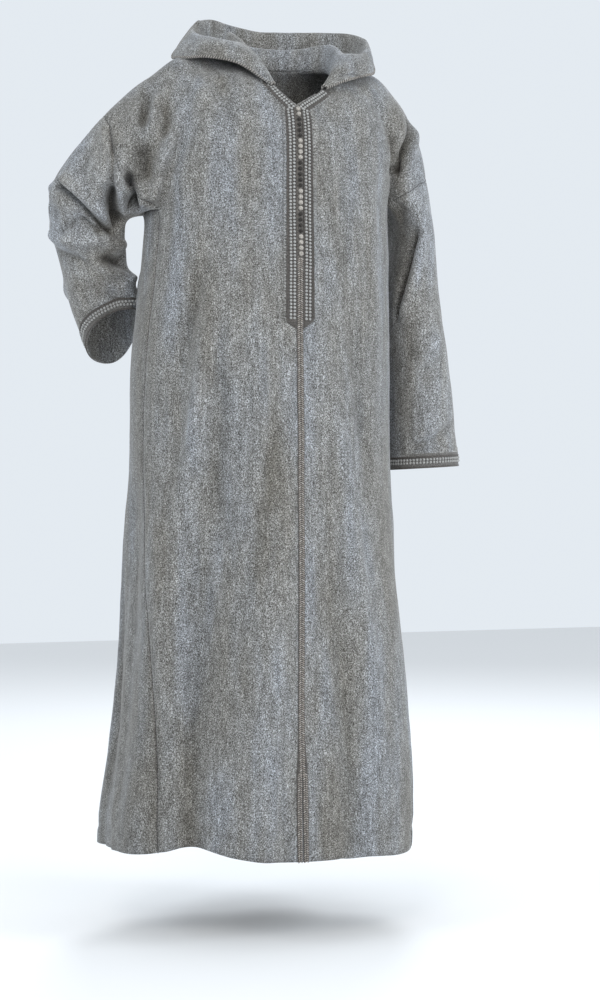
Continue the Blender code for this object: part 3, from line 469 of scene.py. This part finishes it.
        (0.144, -0.073, 0.024)], 0.005, 0.007, 0.3, 0.3),
    "hood roll left": ([(0.075, -0.099, 0.017), (0.100, -0.094, 0.020),
        (0.130, -0.085, 0.020)], 0.005, -0.004, 0.2, 0.3),
    "hood roll right": ([(-0.194, -0.035, 0.030), (-0.166, -0.064, 0.024), (-0.134, -0.081, 0.018),
        (-0.101, -0.095, 0.004)], 0.010, -0.005, 0.3, 0.3),
    "hood back fold": ([(-0.080, 0.185, 0.060), (-0.050, 0.225, -0.060),
        (-0.010, 0.235, -0.150)], 0.016, -0.012, 0.3, 0.3),
    "hood back fold left": ([(0.090, 0.180, 0.070), (0.060, 0.220, -0.040),
        (0.030, 0.232, -0.120)], 0.018, 0.0105, 0.3, 0.3),
    "hood side fold": ([(-0.185, 0.050, 0.030), (-0.150, 0.120, 0.000),
        (-0.110, 0.170, -0.060)], 0.014, -0.012, 0.3, 0.4),
    "hood side fold left": ([(0.170, 0.050, 0.060), (0.150, 0.120, 0.020),
        (0.110, 0.170, -0.040)], 0.014, -0.0105, 0.3, 0.4),
    # back of the body
    "back blade right": ([(-0.150, 0.140, -0.300), (-0.165, 0.160, -0.500), (-0.175, 0.180, -0.780),
        (-0.180, 0.200, -1.100)], 0.022, 0.0146, 0.4, 0.4),
    "back hollow right": ([(-0.115, 0.150, -0.350), (-0.120, 0.170, -0.600), (-0.125, 0.190, -0.950),
        (-0.128, 0.210, -1.400)], 0.022, -0.013, 0.4, 0.0),
    "back ridge middle": ([(-0.040, 0.165, -0.420), (-0.045, 0.180, -0.700), (-0.060, 0.200, -1.050),
        (-0.070, 0.215, -1.400)], 0.022, 0.013, 0.4, 0.0),
    "back hollow left": ([(0.040, 0.160, -0.340), (0.030, 0.175, -0.600), (0.020, 0.195, -0.950),
        (0.010, 0.215, -1.400)], 0.026, -0.013, 0.4, 0.0),
    "back blade left": ([(0.090, 0.140, -0.280), (0.100, 0.160, -0.480), (0.110, 0.185, -0.820),
        (0.115, 0.200, -1.200)], 0.022, 0.013, 0.4, 0.4),
    "back side left": ([(0.160, 0.090, -0.400), (0.160, 0.110, -0.700), (0.155, 0.140, -1.050),
        (0.150, 0.160, -1.400)], 0.018, -0.0126, 0.4, 0.0),
    "back side right": ([(-0.235, 0.090, -0.400), (-0.235, 0.110, -0.700), (-0.238, 0.135, -1.050),
        (-0.240, 0.155, -1.400)], 0.018, -0.0126, 0.4, 0.0),
    "left gore fold": ([(0.215, 0.020, -0.700), (0.225, 0.020, -1.000),
        (0.235, 0.010, -1.400)], 0.014, -0.0112, 0.4, 0.0),
    "left gore ridge": ([(0.212, -0.020, -0.750), (0.224, -0.030, -1.050),
        (0.240, -0.045, -1.400)], 0.014, 0.0084, 0.4, 0.0),
}

# Places where the cloth is moved as a whole: panels, centre, reach and shift
nudges = {
    "right shoulder": (("front_right", "back"), (-0.203, -0.008, 0.012), 0.062, (0.0, -0.002, 0.012)),
    "left shoulder": (("front_left", "back"), (0.172, -0.020, 0.008), 0.052, (0.0, 0.0, 0.010)),
    "right wrist": (("sleeve_right",), (-0.264, 0.090, -0.420), 0.095, (0.0080, -0.0032, 0.0)),
}
# The ends of the hood's roll, which narrow to nothing on the neck seam: end, reach and strength
rollEnds = {"right": ((-0.053, -0.093, -0.023), 0.058, 0.86), "left": ((0.040, -0.093, -0.023), 0.050, 0.80)}

shape = {
    "smoothing": 2, "wall": 0.0018, "foldSteps": 14, "fineAbove": -0.30, "seamDepth": 0.0010,
    "seamWidth": 0.005, "edgeBelow": -1.30, "edgeTilt": 0.02, "hemBelow": -1.28, "hemAbove": 0.033,
    "hemWidth": 0.008, "hemDepth": 0.0026, "pucker": 0.0019, "puckers": 70, "ripple": 0.0016,
    "rippleSize": 0.085, "fineRipple": 0.035,
}


def isFine(face):
    name = panelNames[face.material_index]
    high = face.calc_center_median().z > shape["fineAbove"]
    return name.startswith("sleeve") or (high and name in ("front_right", "front_left", "back"))


# The edges as one walk of points, end to end
def chain(edges):
    near = {}
    for edge in edges:
        a, b = edge.verts
        near.setdefault(a, []).append(b)
        near.setdefault(b, []).append(a)
    walks, left = [], set(near)
    while left:
        ends = [v for v in left if len(near[v]) == 1]
        here = min(ends or left, key=lambda v: tuple(v.co))
        walk = [here]
        left.discard(here)
        while True:
            ahead = [v for v in near[here] if v in left]
            if not ahead:
                break
            here = ahead[0]
            left.discard(here)
            walk.append(here)
        walks.append(walk)
    longest = max(walks, key=len)
    line = [v.co.copy() for v in longest]
    if longest[-1] in near[longest[0]] and len(longest) > 3:
        line.append(line[0].copy())
    return line


def seamEdges(bm, first, second=None):
    found = []
    for edge in bm.edges:
        names = sorted(panelNames[f.material_index] for f in edge.link_faces)
        if second is None and names == [first]:
            found.append(edge)
        if second is not None and names == sorted([first, second]):
            found.append(edge)
    return found


def nearLines(edges, step=0.002):
    samples = []
    for edge in edges:
        a, b = edge.verts[0].co, edge.verts[1].co
        count = max(1, int((b - a).length / step))
        samples += [a.lerp(b, k / count) for k in range(count + 1)]
    return treeOf(samples)


def shapeCloth(cloth):
    edges = [e for e in cloth.edges if any(isFine(f) for f in e.link_faces)]
    bmesh.ops.subdivide_edges(cloth, edges=edges, cuts=1, use_grid_fill=True)
    cloth.normal_update()
    places = np.array([v.co[:] for v in cloth.verts])
    normals = np.array([v.normal[:] for v in cloth.verts])
    push = np.zeros(len(places))
    for path, width, rise, startFade, endFade in folds.values():
        push += foldPush(places, path, width, rise, startFade, endFade)
    seams = [e for e in cloth.edges if len({f.material_index for f in e.link_faces}) > 1]
    seamTree = nearLines(seams)
    rims = [e for e in cloth.edges if len(e.link_faces) == 1]
    low = [e for e in rims if max(v.co.z for v in e.verts) < shape["edgeBelow"]]
    hemTree = nearLines([e for e in low if abs(e.verts[0].co.z - e.verts[1].co.z) < shape["edgeTilt"]])
    for k, vert in enumerate(cloth.verts):
        away = seamTree.find(vert.co)[2]
        push[k] -= shape["seamDepth"] * math.exp(-((away / shape["seamWidth"]) ** 2))
        if vert.co.z < shape["hemBelow"]:
            up = hemTree.find(vert.co)[2]
            off = (up - shape["hemAbove"]) / shape["hemWidth"]
            wave = noise.noise(Vector((vert.co.x * shape["puckers"], vert.co.y * shape["puckers"], 0)))
            push[k] += math.exp(-off * off) * (wave * shape["pucker"] - shape["hemDepth"])
        ripple = noise.noise(vert.co / shape["rippleSize"]) + 0.5 * noise.noise(vert.co / shape["fineRipple"])
        push[k] += shape["ripple"] * ripple
    moved = places + normals * push[:, None]
    # how far out or in each point was pushed, which the wool reads to paint shade into the hollows and
    # highlight onto the ridges
    hollow = cloth.verts.layers.float.new("fold")
    for vert, place, rise in zip(cloth.verts, moved, push):
        vert.co = place
        vert[hollow] = max(-0.5, min(0.5, rise * wool["paintedFoldShadeGain"]))
    for vert in cloth.verts:
        names = {panelNames[f.material_index] for f in vert.link_faces}
        for where, centre, reach, shift in nudges.values():
            away = (vert.co - Vector(centre)).length / reach
            if away < 1 and names <= set(where):
                vert.co += Vector(shift) * (1 - away * away) ** 2
        for end, reach, strength in rollEnds.values():
            away = (vert.co - Vector(end)).length / reach
            if away < 1 and names == {"hood"}:
                vert.co = vert.co.lerp(Vector(end), strength * (1 - away * away) ** 2)
    cloth.normal_update()


cloth = smoothed(weldedCloth(), shape["smoothing"], [woolOf[n] for n in panelNames])
shapeCloth(cloth)
surface = BVHTree.FromBMesh(cloth)
print("cloth shaped,", len(cloth.faces), "faces")


def finishPiece(name, mesh, materials):
    made = linked(name, mesh)
    for material in materials:
        mesh.materials.append(material)
    mesh.polygons.foreach_set("use_smooth", [True] * len(mesh.polygons))
    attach(made, "root")
    return made


def cutPanel(name):
    index = panelNames.index(name)
    part = cloth.copy()
    bmesh.ops.delete(part, geom=[f for f in part.faces if f.material_index != index], context="FACES")
    for face in part.faces:
        face.material_index = 0
    mesh = bpy.data.meshes.new("robe_" + name)
    part.to_mesh(mesh)
    part.free()
    made = finishPiece("robe_" + name, mesh, [woolOf[name]])
    thicken(made, shape["wall"], -1)
    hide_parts(name)
    return made


robe = {name: cutPanel(name) for name in panelNames}
print("panels cut")


# Where the braids and stitches run, read off the seams of the shaped cloth
def upward(line):
    return line if line[0].z > line[-1].z else line[::-1]


openings = {"neckAbove": -0.3, "slitBelow": -1.2, "slitX": -0.054, "slitReach": 0.02, "slitLean": 0.6}
seamLines = {
    "centre": upward(chain(seamEdges(cloth, "front_right", "front_left"))),
    "goreRightFront": upward(chain(seamEdges(cloth, "front_right", "gore_right"))),
    "goreRightBack": upward(chain(seamEdges(cloth, "back", "gore_right"))),
    "goreLeftFront": upward(chain(seamEdges(cloth, "front_left", "gore_left"))),
    "goreLeftBack": upward(chain(seamEdges(cloth, "back", "gore_left"))),
    "hoodEdge": chain(seamEdges(cloth, "hood")),
}
for side in ("right", "left"):
    front, sleeve = "front_" + side, "sleeve_" + side
    for body in (front, "back", "gore_" + side):
        hole = seamEdges(cloth, body, sleeve)
        if hole:
            seamLines["armhole_%s_%s" % (side, body)] = chain(hole)
    seamLines["cuff_" + side] = chain(seamEdges(cloth, sleeve))
    edge = [e for e in seamEdges(cloth, front) if min(v.co.z for v in e.verts) > openings["neckAbove"]]
    neck = chain(edge + seamEdges(cloth, front, "hood"))
    top = seamLines["centre"][0]
    seamLines["neck_" + side] = neck if (neck[0] - top).length < (neck[-1] - top).length else neck[::-1]
    upright = []
    for e in seamEdges(cloth, front):
        a, b = [v.co for v in e.verts]
        isUpright = abs(a.x - b.x) < openings["slitLean"] * (a - b).length
        isNear = abs(a.x - openings["slitX"]) < openings["slitReach"]
        if isUpright and isNear and max(a.z, b.z) < openings["slitBelow"]:
            upright.append(e)
    seamLines["slit_" + side] = upward(chain(upright))
print("seam lines read,", len(seamLines))


def evenly(line, step, start=0.0, end=None):
    points = np.array([tuple(p) for p in line])
    along = np.concatenate([[0], np.cumsum(np.linalg.norm(np.diff(points, axis=0), axis=1))])
    end = along[-1] if end is None else min(end, along[-1])
    count = max(2, int(round((end - start) / step)) + 1)
    at = np.linspace(start, end, count)
    return np.stack([np.interp(at, along, points[:, k]) for k in range(3)], axis=1)


# The way along the line at each point, the cloth's normal there, and the way across
def ways(line):
    ahead = np.gradient(line, axis=0)
    ahead /= np.maximum(np.linalg.norm(ahead, axis=1, keepdims=True), 1e-9)
    up = np.array([tuple(surface.find_nearest(Vector(p))[1]) for p in line])
    up = up - ahead * (up * ahead).sum(axis=1, keepdims=True)
    up /= np.maximum(np.linalg.norm(up, axis=1, keepdims=True), 1e-9)
    return ahead, up, np.cross(ahead, up)


def onCloth(line):
    return np.array([tuple(surface.find_nearest(Vector(p))[0]) for p in line])


# A line on the cloth, to one side of the given one; points that fall back onto it at a corner are left out
def beside(line, distance, side):
    line = np.array(line)
    distance = np.broadcast_to(distance, (len(line),))
    _, _, across = ways(line)
    moved = onCloth(line + across * (side * distance)[:, None])
    gap = np.linalg.norm(moved[:, None, :] - line[None, :, :], axis=2).min(axis=1)
    return moved[gap > distance * 0.9]


# Small ellipsoids on the line: size is across, along and up
def blobs(bm, line, size, lift, turn=0.0, levels=2):
    ahead, up, across = ways(line)
    c, s = math.cos(turn), math.sin(turn)
    for k, place in enumerate(line):
        one, two = across[k] * c + ahead[k] * s, ahead[k] * c - across[k] * s
        frameOf = Matrix((one * size[0] / 2, two * size[1] / 2, up[k] * size[2] / 2)).transposed().to_4x4()
        spot = Matrix.Translation(Vector(place + up[k] * lift)) @ frameOf
        bmesh.ops.create_icosphere(bm, subdivisions=levels, radius=1.0, matrix=spot)


def fromBmesh(bm, name, material):
    bmesh.ops.recalc_face_normals(bm, faces=bm.faces)
    mesh = bpy.data.meshes.new(name)
    bm.to_mesh(mesh)
    bm.free()
    made = finishPiece(name, mesh, [material])
    return made


def cordAlong(name, lines, radius, lift, material, flat=0.8):
    bm = bmesh.new()
    for line in lines:
        ahead, up, across = ways(line)
        rings = []
        for k, place in enumerate(line):
            made = bmesh.ops.create_circle(bm, cap_ends=False, radius=radius, segments=8)["verts"]
            frameOf = Matrix((across[k], up[k] * flat, -ahead[k])).transposed().to_4x4()
            spot = Matrix.Translation(Vector(place + up[k] * lift)) @ frameOf
            bmesh.ops.transform(bm, matrix=spot, verts=made)
            rings.append(made)
        for one, two in zip(rings, rings[1:]):
            edges = [e for ring in (one, two) for v in ring for e in v.link_edges if e.other_vert(v) in ring]
            bmesh.ops.bridge_loops(bm, edges=list(dict.fromkeys(edges)))
        bmesh.ops.contextual_create(bm, geom=rings[0])
        bmesh.ops.contextual_create(bm, geom=rings[-1])
    return fromBmesh(bm, name, material)


# Ribbons under the braids, laid on the cloth, and the points that their solids face
braid = {"lift": 0.0004, "thick": 0.0010}
facing = {
    "placket": (-0.03, -0.9, -0.3), "strip": (-0.03, -0.9, -0.8), "slit": (-0.05, -0.9, -1.3),
    "cuff_right": (-0.9, -0.3, -0.45), "cuff_left": (0.9, -0.3, -0.7),
}


def ribbon(name, outside, materials, split=None):
    ready = smoothed(outerLayer(name, outside), shape["smoothing"], materials)
    for vert in ready.verts:
        place, normal, _, _ = surface.find_nearest(vert.co)
        vert.co = place + normal * braid["lift"]
    for face in ready.faces:
        face.material_index = 1 if split and split(face.calc_center_median()) else 0
    mesh = bpy.data.meshes.new("braid_" + name)
    ready.to_mesh(mesh)
    ready.free()
    made = finishPiece("braid_" + name, mesh, materials)
    thicken(made, braid["thick"], 1)
    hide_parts(name)
    return made


placket = {
    "end": -0.455, "step": 0.002, "stripHalf": 0.0062, "beadRows": (0.0050, 0.0120), "pitch": 0.0062,
    "bead": (0.0052, 0.0050, 0.0034), "beadLift": 0.0024, "cords": (0.0016, 0.0172, 0.0200), "cordStep": 0.004,
    "cordRadius": 0.0014, "cordLift": 0.0018, "ticks": 0.0240, "tick": (0.0068, 0.0014, 0.0014),
    "tickLift": 0.0018, "neckStart": 0.004, "neckLength": 0.072, "neckNarrow": 0.14, "neckTurn": 0.012,
    "topNarrow": 0.003, "outer": 0.015, "edge": 0.0265, "neckEdge": 0.0178,
}


# The inner edge of a placket band: up the centre front, then along the neck
def bandLine(side):
    centre = [p for p in seamLines["centre"] if p.z > placket["end"]][::-1]
    neck = evenly(seamLines["neck_" + side], placket["step"], placket["neckStart"], placket["neckLength"])
    return evenly(centre, placket["step"]), neck


def bandRow(side, distance, step):
    centre, neck = bandLine(side)
    way = -1 if side == "right" else 1
    line = np.vstack([centre, neck])
    top = np.linalg.norm(np.diff(centre, axis=0), axis=1).sum()
    along = np.concatenate([[0], np.cumsum(np.linalg.norm(np.diff(line, axis=0), axis=1))])
    onNeck = ease((along - top + placket["neckTurn"]) / (2 * placket["neckTurn"]))
    outer = placket["topNarrow"] * np.minimum(along / top, 1) * (distance > placket["outer"])
    away = distance * (1 - placket["neckNarrow"] * onNeck) + (placket["stripHalf"] - outer) * (1 - onNeck)
    return evenly(beside(line, away, way), step)


for side in ("right", "left"):
    centre, neck = bandLine(side)
    inner = treeOf(list(centre) + list(neck))
    count = len(centre)

    def isOuter(place, inner=inner, count=count):
        _, k, away = inner.find(place)
        return away > (placket["edge"] - placket["topNarrow"] * k / count if k < count else placket["neckEdge"])

    looks = [finishes["darkBraid"], woolOf["front_" + side]]
    ribbon("placket_braid_" + side, facing["placket"], looks, isOuter)
    beads = bmesh.new()
    for distance in placket["beadRows"]:
        blobs(beads, bandRow(side, distance, placket["pitch"]), placket["bead"], placket["beadLift"])
    fromBmesh(beads, "placket_beads_" + side, finishes["paleThread"])
    cords = [bandRow(side, distance, placket["cordStep"]) for distance in placket["cords"]]
    cordAlong(
        "placket_cords_" + side, cords, placket["cordRadius"], placket["cordLift"], finishes["darkBraid"])
    ticks = bmesh.new()
    row = bandRow(side, placket["ticks"], placket["pitch"])
    blobs(ticks, row, placket["tick"], placket["tickLift"], 0.0, 1)
    fromBmesh(ticks, "placket_overcast_" + side, finishes["paleThread"])
print("placket made")

# The woven strips: one strand in five is a pale fleck, and lies a little higher
strip = {
    "top": -0.332, "pitch": 0.0038, "slant": 0.55, "every": 5, "lift": 0.0017, "fleckLift": 0.0018,
    "strand": (0.0074, 0.0023, 0.0022), "half": 0.0031, "slitStep": 0.004, "slitAway": 0.0050,
    "slitStrand": (0.0056, 0.0022, 0.0020), "slitHalf": 0.0023,
}
ribbon("loop_strip", facing["placket"], [finishes["loopCord"]])
ribbon("front_braid", facing["strip"], [finishes["darkBraid"]])


def wovenStrip(name, line, half, strand):
    dark, light = bmesh.new(), bmesh.new()
    places = evenly(line, strip["pitch"])
    for way, first in ((-1, 0), (1, 2)):
        row = beside(places, half, way)
        isFleck = np.arange(len(row)) % strip["every"] == first
        blobs(dark, row[~isFleck], strand, strip["lift"], way * strip["slant"], 1)
        blobs(light, row[isFleck], strand, strip["fleckLift"], way * strip["slant"], 1)
    fromBmesh(dark, name, finishes["stripThread"])
    fromBmesh(light, name + "_flecks", finishes["stripFleck"])


below = [p for p in seamLines["centre"] if p.z < strip["top"]]
wovenStrip("centre_weave", below, strip["half"], strip["strand"])
for side in ("right", "left"):
    way = -1 if side == "right" else 1
    ribbon("slit_braid_" + side, facing["slit"], [finishes["darkBraid"]])
    edge = evenly(seamLines["slit_" + side], strip["slitStep"])
    middle = beside(edge, strip["slitAway"], -way)
    wovenStrip("slit_weave_" + side, middle, strip["slitHalf"], strip["slitStrand"])
print("front strip made")

# Cuffs
cuff = {
    "beadRows": (0.0108, 0.0164), "cords": (0.0018, 0.0205, 0.0222), "pitch": 0.0062, "tall": 0.0234,
    "step": 0.003, "cordStep": 0.004, "cordRadius": 0.0012, "cordLift": 0.0017,
    "elbow": {"right": (-0.34, 0.10, -0.33), "left": (0.27, 0.01, -0.5)},
}
for side in ("right", "left"):
    edge = evenly(seamLines["cuff_" + side], cuff["step"])
    rim = treeOf(edge)

    def isSleeve(place, rim=rim):
        return rim.find(place)[2] > cuff["tall"]

    looks = [finishes["cuffBraid"], woolOf["sleeve_" + side]]
    ribbon("cuff_braid_" + side, facing["cuff_" + side], looks, isSleeve)
    _, _, across = ways(edge)
    inward = np.array(cuff["elbow"][side]) - np.array(seamLines["cuff_" + side]).mean(axis=0)
    way = 1 if (across @ inward).mean() > 0 else -1
    beads = bmesh.new()
    for distance in cuff["beadRows"]:
        blobs(beads, evenly(beside(edge, distance, way), cuff["pitch"]), placket["bead"], placket["beadLift"])
    fromBmesh(beads, "cuff_beads_" + side, finishes["paleThread"])
    cords = [evenly(beside(edge, distance, way), cuff["cordStep"]) for distance in cuff["cords"]]
    cordAlong(
        "cuff_cords_" + side, cords, cuff["cordRadius"], cuff["cordLift"], finishes["darkBraid"])
print("cuffs made")

# Seams sewn by hand in dark thread, and the overcast edge of the hood
sewing = {"pitch": 0.0058, "stitch": (0.0011, 0.0042, 0.0009), "lift": 0.0003}
stitches = bmesh.new()
for name in [n for n in seamLines if n.startswith(("gore", "armhole"))]:
    blobs(stitches, evenly(seamLines[name], sewing["pitch"]), sewing["stitch"], sewing["lift"], 0.0, 1)
fromBmesh(stitches, "seam_stitches", finishes["seamThread"])


# The line moved onto the cloth from its edge, whichever side the cloth lies
def inside(line, distance):
    return max((beside(line, distance, way) for way in (-1, 1)), key=len)


piping = {
    "radius": 0.0026, "lift": -0.0009, "step": 0.004, "hood": 0.34, "neckStart": 0.002, "neck": 0.055,
    "tick": (0.0066, 0.0017, 0.0052), "pitch": 0.0046, "inset": 0.0016, "slant": 0.35,
}
hoodLine = seamLines["hoodEdge"]
hoodLine = hoodLine if hoodLine[0][0] < 0 else hoodLine[::-1]
hoodEdges = [evenly(line, piping["step"], 0.0, piping["hood"]) for line in (hoodLine, hoodLine[::-1])]
neckEdges = [evenly(seamLines["neck_" + side], piping["step"], piping["neckStart"], piping["neck"])
             for side in ("right", "left")]
cordAlong(
    "neck_piping", neckEdges, piping["radius"], piping["lift"], woolOf["hood"], 1.0)
pale, deep = bmesh.new(), bmesh.new()
for edge in hoodEdges + neckEdges:
    ticks = evenly(inside(edge, piping["inset"]), piping["pitch"])
    blobs(pale, ticks, piping["tick"], piping["lift"], piping["slant"], 1)
    blobs(deep, (ticks[:-1] + ticks[1:]) / 2, piping["tick"], piping["lift"], piping["slant"], 1)
fromBmesh(pale, "edge_overcast", finishes["stripFleck"])
fromBmesh(deep, "edge_overcast_dark", finishes["darkBraid"])
print("stitches made")

# Ball buttons, each a knot of cord
button = {
    "count": 27, "radius": 0.0041, "lift": 0.0018, "sunk": 0.86, "rounds": 8.0, "groove": 0.09, "height": 0.88,
    "light": (1, 2, 7, 8, 9, 10, 16, 17, 18, 19, 24, 25, 26, 27),
}


def knotButton(number):
    name = "button_%02d" % number
    low, high = [Vector(v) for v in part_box(name)]
    place, up, _, _ = surface.find_nearest((low + high) / 2)
    centre = place + up * (button["lift"] + button["radius"] * button["sunk"])
    bm = bmesh.new()
    bmesh.ops.create_icosphere(bm, subdivisions=3, radius=button["radius"])
    for vert in bm.verts:
        way = vert.co.normalized()
        turn = math.atan2(way.y, way.x)
        wrap = math.sin(button["rounds"] * way.z + 2 * turn) * math.sin(3 * turn - 4 * way.z)
        vert.co = way * button["radius"] * (1 + button["groove"] * wrap)
        vert.co.z *= button["height"]
    aim = Vector((0, 0, 1)).rotation_difference(up).to_matrix().to_4x4()
    bmesh.ops.transform(bm, matrix=Matrix.Translation(centre) @ aim, verts=bm.verts)
    tone = "pale" if number in button["light"] else "dark"
    made = fromBmesh(bm, "knot_%02d" % number, finishes[tone + "Knot"])
    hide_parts(name)


for number in range(1, button["count"] + 1):
    knotButton(number)
print("buttons made")

# Stage, light and camera
stage = {
    "floor": -1.55, "size": 14.0, "paper": (0.78, 0.78, 0.78, 1), "roughness": 0.9,
    "sky": (0.88, 0.94, 1.0, 1), "skyStrength": 0.88,
}
bm = bmesh.new()
place = Matrix.Translation((0, 0, stage["floor"]))
bmesh.ops.create_grid(bm, x_segments=1, y_segments=1, size=stage["size"] / 2, matrix=place)
mesh = bpy.data.meshes.new("studio_floor")
bm.to_mesh(mesh)
bm.free()
floor = linked("studio_floor", mesh)
paper = bpy.data.materials.new("studio_paper")
paper.use_nodes = True
paper.node_tree.nodes["Principled BSDF"].inputs["Base Color"].default_value = stage["paper"]
paper.node_tree.nodes["Principled BSDF"].inputs["Roughness"].default_value = stage["roughness"]
mesh.materials.append(paper)

world = bpy.data.worlds.new("studio")
world.use_nodes = True
world.node_tree.nodes["Background"].inputs["Color"].default_value = stage["sky"]
world.node_tree.nodes["Background"].inputs["Strength"].default_value = stage["skyStrength"]
bpy.context.scene.world = world

lights = {
    "key": ((-2.2, -3.2, 2.2), (-0.10, 0, -0.4), 1.6, 38, (1.0, 0.955, 0.89)),
    "left sky": ((-3.4, -0.6, 1.4), (-0.1, 0, -0.5), 2.2, 52, (0.86, 0.93, 1.0)),
    "right sky": ((2.6, -2.4, 0.6), (0.15, 0, -0.5), 1.8, 66, (0.88, 0.94, 1.0)),
    "low front": ((0.1, -3.9, -0.3), (-0.1, 0, -0.4), 1.6, 42, (1.0, 0.98, 0.95)),
    "back sky": ((1.6, 3.0, 1.8), (0, 0, -0.6), 1.6, 75, (0.90, 0.95, 1.0)),
}
for name, (spot, target, size, power, colour) in lights.items():
    lamp = bpy.data.lights.new(name, "AREA")
    lamp.shape = "DISK"
    lamp.size = size
    lamp.energy = power
    lamp.color = colour
    holder = linked(name, lamp)
    holder.location = spot
    holder.rotation_euler = (Vector(target) - Vector(spot)).to_track_quat("-Z", "Y").to_euler()

view = {"azimuth": -22, "distance": 3.6, "aside": 0.0316, "height": -0.77, "focal": 69.66, "sensor": 36}
turn = math.radians(view["azimuth"])
camera = linked("camera", bpy.data.cameras.new("camera"))
camera.data.sensor_fit = "VERTICAL"
camera.data.sensor_height = view["sensor"]
camera.data.lens = view["focal"]
toward = Vector((math.sin(turn), -math.cos(turn), 0))
aside = Vector((math.cos(turn), math.sin(turn), 0))
camera.location = toward * view["distance"] + aside * view["aside"] + Vector((0, 0, view["height"]))
camera.rotation_euler = (math.radians(90), 0, turn)
bpy.context.scene.camera = camera
bpy.context.scene.view_settings.view_transform = "Standard"
print("stage, light and camera set")

bpy.context.view_layer.update()
